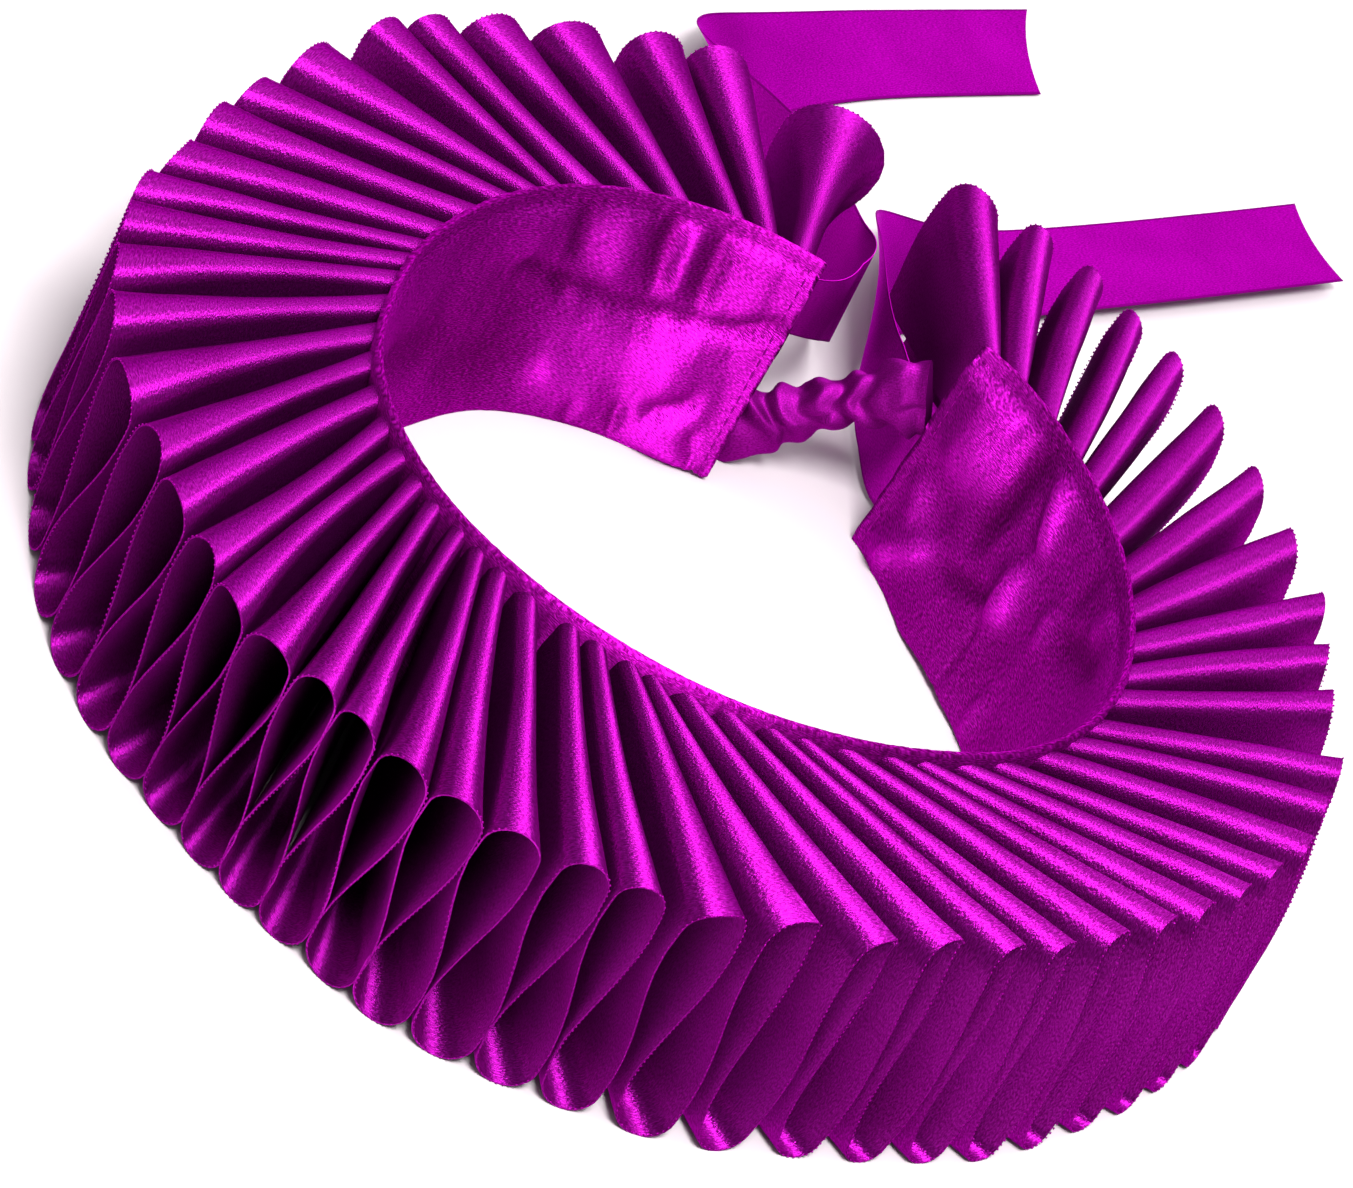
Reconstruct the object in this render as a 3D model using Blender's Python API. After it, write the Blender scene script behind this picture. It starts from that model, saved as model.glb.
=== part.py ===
"""Ruff collar of satin ribbon: a neckband, one long figure-eight ruffle, an elastic back and two ties.

The frame has its origin at the middle of the neck opening, on the surface that the collar lies on.
+Z is up and +Y points to the open back, where the ties are.
"""

import math
from typing import NamedTuple

import bmesh
import bpy
from mathutils import Vector

MM = 0.001

# Cloth
WALL = 1.2 * MM
SEAM_GAP = 0.3 * MM
RIBBON_WIDTH = 25 * MM

# Neckband
BAND_HEIGHT = 46.2 * MM
BAND_STEP_DEG = 4.0
HEM_DEPTH = 5.0 * MM
HEM_THICKNESS = 2.0 * MM

# Ruffle
RIM_HEIGHT = 45.0 * MM
TIP_HEIGHT = 43.0 * MM
RIM_RADIUS = 107 * MM
TIP_RADIUS = 65 * MM
LOOP_GAP = 0.6 * MM
SEWN_CLEARANCE = 0.6 * MM
NEAREST_TIP = 60.5 * MM
WIDEST_LOOP = 7.0 * MM
END_LOOPS = (10.0 * MM, 5.5 * MM)
LOOSE_FROM_DEG = 380
LOOSE_FILL = 0.62
TOPS_PER_LENGTH = 4
ARC_DEG = (142, 106, 74, 38)
FLAT_HALF_DEG = 16
END_FOLD_DEG = 9
END_CUT_AT_NECK = 0.3
END_CUTS_AT_RIM = (0.42, 0.75)
TIP_SEARCH = 0.5
TIP_SEARCH_STEPS = 24

# Elastic casing
CASING_SIDES = 12
CASING_STEPS = 22

# Ties
TIE_STEP = 4.5 * MM
LEFT_TIE_SLANT = 13.0 * MM
RIGHT_TIE_SLANT = 9.0 * MM

MAGENTA = (0.30, 0.002, 0.29, 1.0)
DEEP_MAGENTA = (0.22, 0.001, 0.21, 1.0)


class BandStation(NamedTuple):
    """One upright line of the neckband: where it stands, and its inner radius at the top and the foot."""

    deg: float
    top_mm: float
    foot_mm: float


BAND = (
    BandStation(99, 57.5, 49.3),
    BandStation(113, 59.8, 50.4),
    BandStation(125, 61.3, 52.5),
    BandStation(145, 63.4, 56.4),
    BandStation(165, 64.2, 58.0),
    BandStation(190, 65.6, 60.5),
    BandStation(210, 67.4, 62.5),
    BandStation(230, 65.8, 62.0),
    BandStation(250, 62.5, 60.0),
    BandStation(270, 60.3, 58.3),
    BandStation(295, 60.0, 58.0),
    BandStation(315, 61.8, 59.5),
    BandStation(335, 65.3, 61.5),
    BandStation(355, 66.6, 61.5),
    BandStation(382, 64.8, 57.3),
    BandStation(394, 64.3, 53.8),
    BandStation(408, 64.3, 53.0),
    BandStation(424, 65.0, 57.4),
    BandStation(431, 64.3, 60.0),
)


class Pleat(NamedTuple):
    """One upper loop of the ruffle: its azimuths at the neckband and at the rim, and the rim's radii."""

    neck_deg: float
    rim_deg: float
    top_mm: float
    foot_mm: float


PLEATS = (
    Pleat(102, 101, 106, 104), Pleat(109, 113, 111, 106), Pleat(114, 120, 110, 106), Pleat(123, 129, 107, 105),
    Pleat(130, 138, 107, 105), Pleat(138, 145, 107, 105), Pleat(145, 151, 108, 105), Pleat(150, 161, 106, 104),
    Pleat(155, 170, 105, 104), Pleat(163, 177, 106, 104), Pleat(170, 184, 106, 105), Pleat(176, 191, 109, 108),
    Pleat(181, 196, 110, 109), Pleat(186, 202, 111, 109), Pleat(192, 208, 111, 109), Pleat(198, 216, 111, 110),
    Pleat(204, 223, 109, 111), Pleat(210, 229, 111, 111), Pleat(216, 235, 110, 111), Pleat(222, 240, 113, 110),
    Pleat(227, 245, 112, 110), Pleat(232, 250, 110, 110), Pleat(238, 254, 110, 110), Pleat(242, 259, 110, 110),
    Pleat(247, 264, 110, 111), Pleat(253, 269, 108, 111), Pleat(260, 275, 107, 110), Pleat(265, 280, 107, 109),
    Pleat(271, 286, 106, 108), Pleat(276, 292, 102, 108), Pleat(282, 299, 103, 106), Pleat(289, 306, 101, 106),
    Pleat(295, 312, 102, 106), Pleat(301, 318, 102, 107), Pleat(307, 324, 102, 108), Pleat(313, 330, 103, 108),
    Pleat(318, 336, 103, 109), Pleat(324, 342, 104, 110), Pleat(329, 347, 105, 111), Pleat(336, 353, 107, 112),
    Pleat(342, 360, 106, 112), Pleat(348, 366, 107, 111), Pleat(356, 375, 104, 109), Pleat(362, 382, 104, 108),
    Pleat(369, 389, 106, 107), Pleat(377, 397, 105, 106), Pleat(385, 405, 105, 105), Pleat(394, 413, 105, 105),
    Pleat(402, 420, 106, 106), Pleat(409, 427, 106, 106), Pleat(416, 433, 107, 106), Pleat(422, 439, 107, 106),
    Pleat(428, 446, 106, 105),
)


class CasingStation(NamedTuple):
    """One point of the elastic casing's centre line, with half its height and half its depth there."""

    x_mm: float
    y_mm: float
    z_mm: float
    half_height_mm: float
    half_depth_mm: float


CASING = (
    CasingStation(-6.9, 56.5, 9.0, 7.5, 2.6),
    CasingStation(-3.0, 58.5, 12.5, 6.2, 3.6),
    CasingStation(3.0, 60.5, 18.5, 4.8, 4.0),
    CasingStation(9.0, 61.6, 23.5, 5.2, 3.8),
    CasingStation(14.0, 62.0, 27.5, 7.0, 3.4),
    CasingStation(18.2, 62.0, 29.5, 8.0, 2.4),
)


class TieStation(NamedTuple):
    """One point of a tie's centre line, and how far its left edge stands up: 0 lies flat, 90 is on edge."""

    x_mm: float
    y_mm: float
    z_mm: float
    stand_deg: float


LEFT_TIE = (
    TieStation(-9.0, 61.5, 26.0, 90),
    TieStation(-4.5, 65.5, 26.0, 90),
    TieStation(-2.0, 72.0, 25.0, 88),
    TieStation(-2.5, 84.0, 21.5, 86),
    TieStation(-4.5, 96.0, 16.5, 84),
    TieStation(-8.0, 107.0, 13.2, 82),
    TieStation(-15.0, 118.0, 12.8, 84),
    TieStation(-27.0, 127.0, 12.8, 84),
    TieStation(-39.0, 135.0, 12.8, 80),
    TieStation(-47.0, 148.0, 12.0, 66),
    TieStation(-47.0, 162.0, 7.5, 34),
    TieStation(-38.0, 179.0, 1.6, 7),
    TieStation(-28.0, 193.0, 0.6, 0),
    TieStation(-12.5, 212.5, 0.6, 0),
    TieStation(2.5, 231.0, 0.6, 0),
)

RIGHT_TIE = (
    TieStation(21.0, 66.6, 13.4, 90),
    TieStation(15.0, 69.4, 14.6, 86),
    TieStation(9.0, 77.0, 16.0, 80),
    TieStation(4.5, 88.0, 15.5, 78),
    TieStation(1.5, 101.0, 13.5, 76),
    TieStation(0.0, 114.0, 11.5, 62),
    TieStation(1.0, 127.0, 7.0, 34),
    TieStation(7.0, 138.0, 3.0, 10),
    TieStation(17.0, 150.0, 2.0, -6),
    TieStation(28.0, 163.5, 3.0, -11),
    TieStation(49.0, 191.5, 3.5, -14),
    TieStation(71.0, 222.5, 3.6, -14),
)


class Pulley(NamedTuple):
    """A round fold seen end on: its centre along the seam, its centre's height and its radius."""

    along: float
    height: float
    radius: float


def smooth(rows, columns, key, at):
    """Catmull-Rom value of the named columns at `at`, between rows sorted by their key column."""
    keys = [getattr(row, key) for row in rows]
    at = min(max(at, keys[0]), keys[-1])
    i = max(j for j in range(len(keys) - 1) if keys[j] <= at or j == 0)
    t = (at - keys[i]) / (keys[i + 1] - keys[i])
    near = [rows[min(max(j, 0), len(rows) - 1)] for j in range(i - 1, i + 3)]
    return [spline([getattr(row, column) for row in near], t) for column in columns]


def spline(four, t):
    """Catmull-Rom blend of four values, from the second to the third as t goes from 0 to 1."""
    a, b, c, d = four
    return b + 0.5 * t * (c - a + t * (2 * a - 5 * b + 4 * c - d + t * (3 * (b - c) + d - a)))


def on_ring(radius, deg, height):
    """The point at a radius, an azimuth in degrees and a height."""
    return Vector((radius * math.cos(math.radians(deg)), radius * math.sin(math.radians(deg)), height))


def band_radius(deg, height):
    """Radius of the neckband's inner face at an azimuth and a height."""
    top, foot = smooth(BAND, ("top_mm", "foot_mm"), "deg", deg)
    return MM * (foot + (top - foot) * height / BAND_HEIGHT)


def material(name, color, roughness):
    """A plain cloth material."""
    made = bpy.data.materials.new(name)
    made.use_nodes = True
    shader = made.node_tree.nodes["Principled BSDF"]
    shader.inputs["Base Color"].default_value = color
    shader.inputs["Roughness"].default_value = roughness
    shader.inputs["Metallic"].default_value = 0.0
    return made


def lofted(name, sections, finish):
    """A closed solid through equal sections, each a ring of points, with flat caps at both ends."""
    mesh = bmesh.new()
    rings = [[mesh.verts.new(point) for point in section] for section in sections]
    count = len(rings[0])
    for ring, following in zip(rings, rings[1:]):
        for i in range(count):
            j = (i + 1) % count
            a, b, c, d = ring[i], ring[j], following[j], following[i]
            # A ring goes out along one face and back along the other, so that both faces are split alike.
            for corners in ((a, b, c), (a, c, d)) if i < count // 2 else ((a, b, d), (b, c, d)):
                mesh.faces.new(corners)
    for ring in (rings[0][::-1], rings[-1]):
        for i in range(count // 2 - 1):
            a, b, c, d = ring[i], ring[i + 1], ring[-i - 2], ring[-i - 1]
            mesh.faces.new((a, b, c))
            mesh.faces.new((a, c, d))
    bmesh.ops.recalc_face_normals(mesh, faces=mesh.faces[:])
    data = bpy.data.meshes.new(name)
    mesh.to_mesh(data)
    mesh.free()
    data.materials.append(finish)
    made = bpy.data.objects.new(name, data)
    bpy.context.collection.objects.link(made)
    return made


def make_neckband(finish):
    """The upright band round the neck, open at the back, with its top edge turned in."""
    steps = round((BAND[-1].deg - BAND[0].deg) / BAND_STEP_DEG)
    profile = (
        (WALL, 0.0), (WALL, BAND_HEIGHT), (WALL - HEM_THICKNESS, BAND_HEIGHT),
        (WALL - HEM_THICKNESS, BAND_HEIGHT - HEM_DEPTH), (0.0, BAND_HEIGHT - HEM_DEPTH - WALL), (0.0, 0.0),
    )
    sections = []
    for step in range(steps + 1):
        deg = BAND[0].deg + (BAND[-1].deg - BAND[0].deg) * step / steps
        sections.append([on_ring(band_radius(deg, z) + out, deg, z) for out, z in profile])
    return lofted("neckband", sections, finish)


def pulleys(azimuths, nominal, height, widest):
    """The upper and lower folds of the whole ruffle at one radius, upper first and last."""
    ends = [azimuths[0] - END_FOLD_DEG, *azimuths, azimuths[-1] + END_FOLD_DEG]
    along = [nominal * math.radians(deg) for deg in ends]
    lower = [(a + b) / 2 for a, b in zip(along, along[1:])]
    upper_radii = [widest(i, b - a, c - b) for i, (a, b, c) in enumerate(zip(along, along[1:], along[2:]))]
    lower_pitch = [b - a for a, b in zip(lower, lower[1:])]
    lower_pitch = [lower_pitch[0], *lower_pitch, lower_pitch[-1]]
    lower_radii = [widest(-1, a, b) for a, b in zip(lower_pitch, lower_pitch[1:])]
    folds = []
    for i, (place, radius) in enumerate(zip(lower, lower_radii)):
        rise = (radius + WALL / 2) * math.cos(math.radians(FLAT_HALF_DEG))
        folds.append(Pulley(place, rise, radius))
        if i < len(azimuths):
            folds.append(Pulley(along[i + 1], height - upper_radii[i] - WALL / 2, upper_radii[i]))
    return folds


def rim_width(index, before, after):
    """Radius of a loop at the rim: as wide as its neighbours leave, slimmer where the pleats stand apart."""
    if index in (0, len(PLEATS) - 1):
        return END_LOOPS[index > 0]
    share = LOOSE_FILL if index > 0 and PLEATS[index].rim_deg > LOOSE_FROM_DEG else 1.0
    return min(WIDEST_LOOP, share * (min(before, after) - LOOP_GAP - WALL) / 2)


def tip_width(index, before, after):
    """Radius of a fold where it is sewn to the neckband: a quarter of the narrower pitch beside it."""
    return min(before, after) / 4


def belt_angle(first, second):
    """Direction from the first fold's centre to where the ribbon leaves it for the second, in radians."""
    across = second.along - first.along
    up = second.height - first.height
    reach = math.acos((first.radius + second.radius) / math.hypot(across, up))
    return math.atan2(up, across) + (reach if up < 0 else -reach)


def fold_points(folds, i, side):
    """The ribbon's points over one fold, on its upper (+1) or lower (-1) face, in seam coordinates."""
    fold = folds[i]
    upper = i % 2 == 1
    radius = fold.radius + (WALL / 2 if upper else -WALL / 2) * side
    sign = 1 if upper else -1
    angles = [math.radians(sign * deg) for deg in ARC_DEG]
    if not upper:
        flat = math.radians(FLAT_HALF_DEG)
        angles[1:3] = [-math.pi / 2 - flat, -math.pi / 2 + flat]
    angles = [belt_angle(folds[i - 1], fold) + math.pi, *angles, belt_angle(fold, folds[i + 1])]
    return [(fold.along + radius * math.cos(a), fold.height + radius * math.sin(a)) for a in angles]


def mixed(first, second, share):
    """The point a share of the way from the first to the second."""
    return tuple(a + (b - a) * share for a, b in zip(first, second))


def seam_path(folds, first, last, side, cut):
    """The ribbon's points from fold `first` to fold `last`, both cut at half their arc or at a free end.

    `cut` is how far down the free flank the ribbon's own ends reach, as a share of the flank.
    """
    path = [fold_points(folds, i, side) for i in range(max(first, 1), min(last, len(folds) - 2) + 1)]
    if first == 0:
        start = belt_angle(folds[0], folds[1])
        radius = folds[0].radius - side * WALL / 2
        foot = (folds[0].along + radius * math.cos(start), folds[0].height + radius * math.sin(start))
        path[0].insert(0, mixed(path[0][0], foot, cut))
    else:
        path[0] = half_arc(path[0], 1)
    if last == len(folds) - 1:
        end = belt_angle(folds[-2], folds[-1]) + math.pi
        radius = folds[-1].radius - side * WALL / 2
        foot = (folds[-1].along + radius * math.cos(end), folds[-1].height + radius * math.sin(end))
        path[-1].append(mixed(path[-1][-1], foot, cut))
    else:
        path[-1] = half_arc(path[-1], -1)
    points = list(path[0])
    for stretch in path[1:]:
        points += [mixed(points[-1], stretch[0], 0.5), *stretch]
    return points


def half_arc(points, way):
    """The part of a lower fold's points on one side of its middle, starting or ending half a gap away."""
    middle = len(points) // 2
    left, right = points[middle - 1], points[middle]
    centre = (left[0] + right[0]) / 2
    start = centre + way * SEAM_GAP / 2
    beyond = centre + way * SEAM_GAP
    clear = max if way > 0 else min
    kept = [(clear(along, beyond), height) for along, height in (points[middle:] if way > 0 else points[:middle])]
    return [(start, left[1]), *kept] if way > 0 else [*kept, (start, left[1])]


def sewn_tip(tip, rim):
    """The point where the straight line of a fold, from the rim in through `tip`, meets the neckband."""
    near, far = -TIP_SEARCH, TIP_SEARCH
    for _ in range(TIP_SEARCH_STEPS):
        share = (near + far) / 2
        point = tip + (tip - rim) * share
        deg = math.degrees(math.atan2(point.y, point.x)) % 360
        deg += 360 if deg < BAND[0].deg - END_FOLD_DEG else 0
        sewn = max(band_radius(deg, tip.z) + WALL + SEWN_CLEARANCE, NEAREST_TIP)
        if math.hypot(point.x, point.y) > sewn:
            near = share
        else:
            far = share
    return Vector((point.x, point.y, tip.z))


def rim_point(point):
    """The place of a seam point at the rim, where each pleat has its own radii."""
    deg = math.degrees(point[0] / RIM_RADIUS)
    top, foot = smooth(PLEATS, ("top_mm", "foot_mm"), "rim_deg", deg)
    return on_ring(MM * (foot + (top - foot) * point[1] / RIM_HEIGHT), deg, point[1])


def make_ruffle(finish):
    """The long ribbon's figure-eight folds, in lengths that meet at the foot of a lower fold."""
    tips = pulleys([p.neck_deg for p in PLEATS], TIP_RADIUS, TIP_HEIGHT, tip_width)
    rims = pulleys([p.rim_deg for p in PLEATS], RIM_RADIUS, RIM_HEIGHT, rim_width)
    made = []
    joints = [*range(0, len(PLEATS) - TOPS_PER_LENGTH, TOPS_PER_LENGTH), len(PLEATS)]
    for number, (start, end) in enumerate(zip(joints, joints[1:]), 1):
        first, last = 2 * start, 2 * end
        rim_cut = END_CUTS_AT_RIM[first > 0]
        faces = []
        for side in (1, -1):
            rim_line = [rim_point(p) for p in seam_path(rims, first, last, side, rim_cut)]
            tip_seam = seam_path(tips, first, last, side, END_CUT_AT_NECK)
            tip_line = [on_ring(TIP_RADIUS, math.degrees(p[0] / TIP_RADIUS), p[1]) for p in tip_seam]
            faces.append(([sewn_tip(t, r) for t, r in zip(tip_line, rim_line)], rim_line))
        (upper_tip, upper_rim), (lower_tip, lower_rim) = faces
        sections = [list(ring) for ring in zip(upper_tip, upper_rim, lower_rim, lower_tip)]
        made.append(lofted(f"ruffle_{number:02d}", sections, finish))
    return made


def centre_line(rows, step):
    """Points about `step` apart on the smooth line through the rows' x, y and z, with their other columns."""
    lines = []
    for i in range(len(rows) - 1):
        near = [rows[min(max(j, 0), len(rows) - 1)] for j in range(i - 1, i + 3)]
        length = MM * math.dist(rows[i][:3], rows[i + 1][:3])
        count = max(1, round(length / step))
        for k in range(count):
            lines.append([spline([row[column] for row in near], k / count) for column in range(len(rows[0]))])
    lines.append(list(rows[-1]))
    return lines


def directions(points):
    """The unit direction of travel at each point of a line."""
    ahead = [points[min(i + 1, len(points) - 1)] - points[max(i - 1, 0)] for i in range(len(points))]
    return [step.normalized() for step in ahead]


def make_casing(finish):
    """The gathered casing over the elastic that joins the band's two ends."""
    rows = centre_line(CASING, MM * math.dist(CASING[0][:3], CASING[-1][:3]) / CASING_STEPS)
    points = [Vector(row[:3]) * MM for row in rows]
    sections = []
    for point, forward, row in zip(points, directions(points), rows):
        deep = forward.cross(Vector((0, 0, 1))).normalized()
        high = deep.cross(forward).normalized()
        ring = []
        for k in range(CASING_SIDES):
            angle = 2 * math.pi * k / CASING_SIDES
            ring.append(point + MM * (high * row[3] * math.sin(angle) + deep * row[4] * math.cos(angle)))
        sections.append(ring)
    return lofted("elastic_casing", sections, finish)


def make_tie(name, rows, slant, finish):
    """A flat ribbon that leaves the band on its edge and then lies down, its left edge `slant` the longer."""
    lines = centre_line(rows, TIE_STEP)
    points = [Vector(row[:3]) * MM for row in lines]
    sections = []
    for i, (point, forward, row) in enumerate(zip(points, directions(points), lines)):
        level = Vector((forward.x, forward.y, 0)).normalized()
        left = Vector((-level.y, level.x, 0))
        stand = math.radians(row[3])
        wide = left * math.cos(stand) + Vector((0, 0, math.sin(stand)))
        thick = level.cross(wide).normalized()
        half_thick = thick * WALL / 2
        end_share = max(0.0, 1 - (len(points) - 1 - i) * TIE_STEP / (2 * slant))
        half_wide = wide * RIBBON_WIDTH / 2 + level * end_share * slant / 2
        ring = [
            point - half_wide - half_thick, point + half_wide - half_thick,
            point + half_wide + half_thick, point - half_wide + half_thick,
        ]
        lift = max(0.0, -min(corner.z for corner in ring))
        sections.append([corner + Vector((0, 0, lift)) for corner in ring])
    return lofted(name, sections, finish)


def main():
    for old in list(bpy.data.objects):
        bpy.data.objects.remove(old)
    satin = material("ruffle_satin", MAGENTA, 0.34)
    band_satin = material("band_satin", MAGENTA, 0.42)
    casing_satin = material("casing_satin", DEEP_MAGENTA, 0.45)
    tie_satin = material("tie_satin", MAGENTA, 0.36)
    make_neckband(band_satin)
    make_ruffle(satin)
    make_casing(casing_satin)
    make_tie("tie_left", LEFT_TIE, LEFT_TIE_SLANT, tie_satin)
    make_tie("tie_right", RIGHT_TIE, RIGHT_TIE_SLANT, tie_satin)


if __name__ == "__main__":
    main()
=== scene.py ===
"""Ruff collar of magenta satin: neckband, figure-eight ruffle, gathered elastic back and ribbon ties.

The collar stands on a table with +Z up and its open back towards +Y. Each class makes one sub-assembly around
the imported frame: a thin cloth shell on the form of its solid, with its creases, selvedges and stitches.
"""

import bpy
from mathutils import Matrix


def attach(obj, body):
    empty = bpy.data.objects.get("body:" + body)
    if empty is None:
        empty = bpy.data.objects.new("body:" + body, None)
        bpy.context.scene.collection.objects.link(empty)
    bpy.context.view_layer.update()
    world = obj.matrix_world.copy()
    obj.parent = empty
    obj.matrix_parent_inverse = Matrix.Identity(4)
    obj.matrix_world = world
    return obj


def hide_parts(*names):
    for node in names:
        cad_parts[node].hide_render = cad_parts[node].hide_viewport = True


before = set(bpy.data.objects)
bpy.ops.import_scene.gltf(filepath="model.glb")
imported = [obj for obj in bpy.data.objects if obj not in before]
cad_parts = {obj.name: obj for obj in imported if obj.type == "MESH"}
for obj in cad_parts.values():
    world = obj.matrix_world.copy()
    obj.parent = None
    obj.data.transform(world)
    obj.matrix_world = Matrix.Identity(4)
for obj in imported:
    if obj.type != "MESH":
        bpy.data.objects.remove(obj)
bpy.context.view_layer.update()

import logging
import math
import random
from collections.abc import Callable, Iterable, Sequence
from dataclasses import dataclass
from enum import Enum
from typing import NamedTuple

import bmesh
import bpy
from mathutils import Matrix, Vector, noise

LOG = logging.getLogger("ruff_collar")
MM = 0.001
BODY = "root"
UV_NAME = "UVMap"
PAINTED_LIGHT_NAME = "gleam"
UV_METRES = 0.1
MIDDLE_RADIUS = 61 * MM
METRES_PER_DEG = MM * 61.0 * math.pi / 180
SENSOR_MM = 36.0
CLIP_START = 10 * MM
MERGE_DISTANCE = 1e-6
SHARP_DEG = 60
STITCH_BALL = {"Segments": 6, "Rings": 4, "Radius": 0.5}

Color = tuple[float, float, float, float]
Point = tuple[float, float]


# ---------------------------------------------------------------------------------------------------
# Tables of the cut
# ---------------------------------------------------------------------------------------------------


class BandStation(NamedTuple):
    """One upright line of the neckband: where it stands, and its inner radius at the top and the foot."""

    deg: float
    top_mm: float
    foot_mm: float


BAND = tuple(BandStation(*row) for row in (
    (99, 57.5, 49.3), (113, 59.8, 50.4), (125, 61.3, 52.5), (145, 63.4, 56.4),
    (165, 64.2, 58.0), (190, 65.6, 60.5), (210, 67.4, 62.5), (230, 65.8, 62.0),
    (250, 62.5, 60.0), (270, 60.3, 58.3), (295, 60.0, 58.0), (315, 61.8, 59.5),
    (335, 65.3, 61.5), (355, 66.6, 61.5), (382, 64.8, 57.3), (394, 64.3, 53.8),
    (408, 64.3, 53.0), (424, 65.0, 57.4), (431, 64.3, 60.0),
))


class Pleat(NamedTuple):
    """One upper loop of the ruffle: its azimuths at the neckband and at the rim, and the rim's radii."""

    neck_deg: float
    rim_deg: float
    top_mm: float
    foot_mm: float


PLEATS = tuple(Pleat(*row) for row in (
    (102.3, 100.5, 106.5, 104), (109.2, 113.5, 111, 106), (114.5, 120.2, 109.5, 106),
    (123.8, 129.5, 107, 105), (129.6, 138, 107, 105), (138.2, 145.2, 107, 105),
    (145.2, 150.6, 107.8, 105), (149.6, 161, 106, 104), (155.2, 170.4, 105, 104),
    (162.5, 177, 106, 104), (170.4, 184.3, 106, 105), (176.2, 190.7, 109.3, 108),
    (180.9, 196, 110, 109), (185.8, 202.1, 110.5, 109), (191.8, 208.2, 111, 109),
    (197.9, 216.2, 111, 110), (203.4, 223.2, 109, 111), (210.2, 229.2, 110.5, 111),
    (215.8, 234.9, 110, 111), (222, 239.9, 112.5, 110), (227.2, 244.9, 112, 110),
    (231.9, 249.6, 109.5, 110), (237.9, 253.9, 110, 110), (242.2, 258.9, 110, 110),
    (246.9, 263.9, 109.5, 111), (252.6, 268.8, 108, 111), (260.4, 274.8, 107, 110),
    (265.1, 279.5, 106.5, 109), (270.9, 285.9, 106, 108), (275.8, 292.6, 102, 108),
    (282.2, 300, 102.7, 106), (288.9, 306.7, 101, 106), (295.4, 313.1, 102, 106),
    (300.7, 318.8, 101.9, 107), (307, 325, 102.3, 108), (313.2, 331.1, 103, 108),
    (318.1, 336.8, 103.2, 109), (323.9, 342.6, 104, 110), (329, 347.6, 105, 111),
    (336.4, 353.6, 106.9, 112), (342.4, 360.6, 106.2, 112), (348.1, 366.5, 106.7, 111),
    (356.1, 375.3, 104.2, 109), (362.2, 381.8, 104.2, 108), (369.3, 388.7, 105.6, 107),
    (376.9, 396.9, 105, 106), (384.6, 405.1, 104.8, 105), (394.1, 413.2, 104.9, 105),
    (403, 420.5, 106, 106), (408.8, 426.7, 106.2, 106), (416, 432.6, 107.2, 106),
    (422.8, 439, 107.1, 106), (428.3, 446, 105.8, 105),
))


class CasingStation(NamedTuple):
    """One point of the elastic casing's centre line, with half its height and half its depth there."""

    x_mm: float
    y_mm: float
    z_mm: float
    half_height_mm: float
    half_depth_mm: float


CASING = tuple(CasingStation(*row) for row in (
    (-11.5, 57.5, 7.5, 8.2, 2.4), (-6.9, 56.5, 9.0, 7.5, 2.6),
    (-3.0, 58.5, 12.5, 6.2, 3.6), (3.0, 60.5, 18.5, 4.8, 4.0),
    (9.0, 61.6, 23.5, 5.2, 3.8), (14.0, 62.0, 27.5, 7.0, 3.4),
    (18.2, 62.0, 29.5, 8.0, 2.4),
))


class TieStation(NamedTuple):
    """One point of a tie's centre line, and how far its left edge stands up: 0 lies flat, 90 is on edge."""

    x_mm: float
    y_mm: float
    z_mm: float
    stand_deg: float


LEFT_TIE = tuple(TieStation(*row) for row in (
    (-9.0, 61.5, 33.0, 90), (-4.5, 65.5, 32.5, 90), (-2.0, 72.0, 31.0, 88),
    (-2.5, 84.0, 26.5, 86), (-4.5, 96.0, 18.5, 84), (-8.0, 107.0, 13.2, 82),
    (-15.0, 118.0, 12.8, 84), (-27.0, 127.0, 12.8, 84), (-38.0, 134.5, 11.6, 68),
    (-45.0, 148.0, 8.6, 40), (-44.5, 163.0, 4.2, 14), (-37.0, 179.0, 1.3, 3),
    (-28.0, 193.0, 0.6, 0), (-12.5, 212.5, 0.6, 0), (2.5, 231.0, 0.6, 0),
))

RIGHT_TIE = tuple(TieStation(*row) for row in (
    (21.0, 66.6, 13.4, 90), (15.0, 69.4, 14.6, 86), (9.0, 77.0, 16.0, 80),
    (4.5, 88.0, 15.5, 78), (1.5, 101.0, 13.5, 76), (0.0, 114.0, 11.5, 62),
    (1.0, 127.0, 7.0, 34), (7.0, 138.0, 3.0, 10), (17.0, 150.0, 1.6, -4),
    (28.0, 163.5, 2.0, -7), (49.0, 192.0, 2.2, -8), (71.0, 223.0, 2.2, -8),
))


class Crease(NamedTuple):
    """A soft trough in the neckband: its middle, its turn from the band's length, its sizes and its depth.

    A negative depth is a ridge. The depth also sets the neckband's painted highlight on ridges and painted shade
    in troughs.
    """

    deg: float
    height_mm: float
    turn_deg: float
    length_mm: float
    width_mm: float
    depth_mm: float


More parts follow.
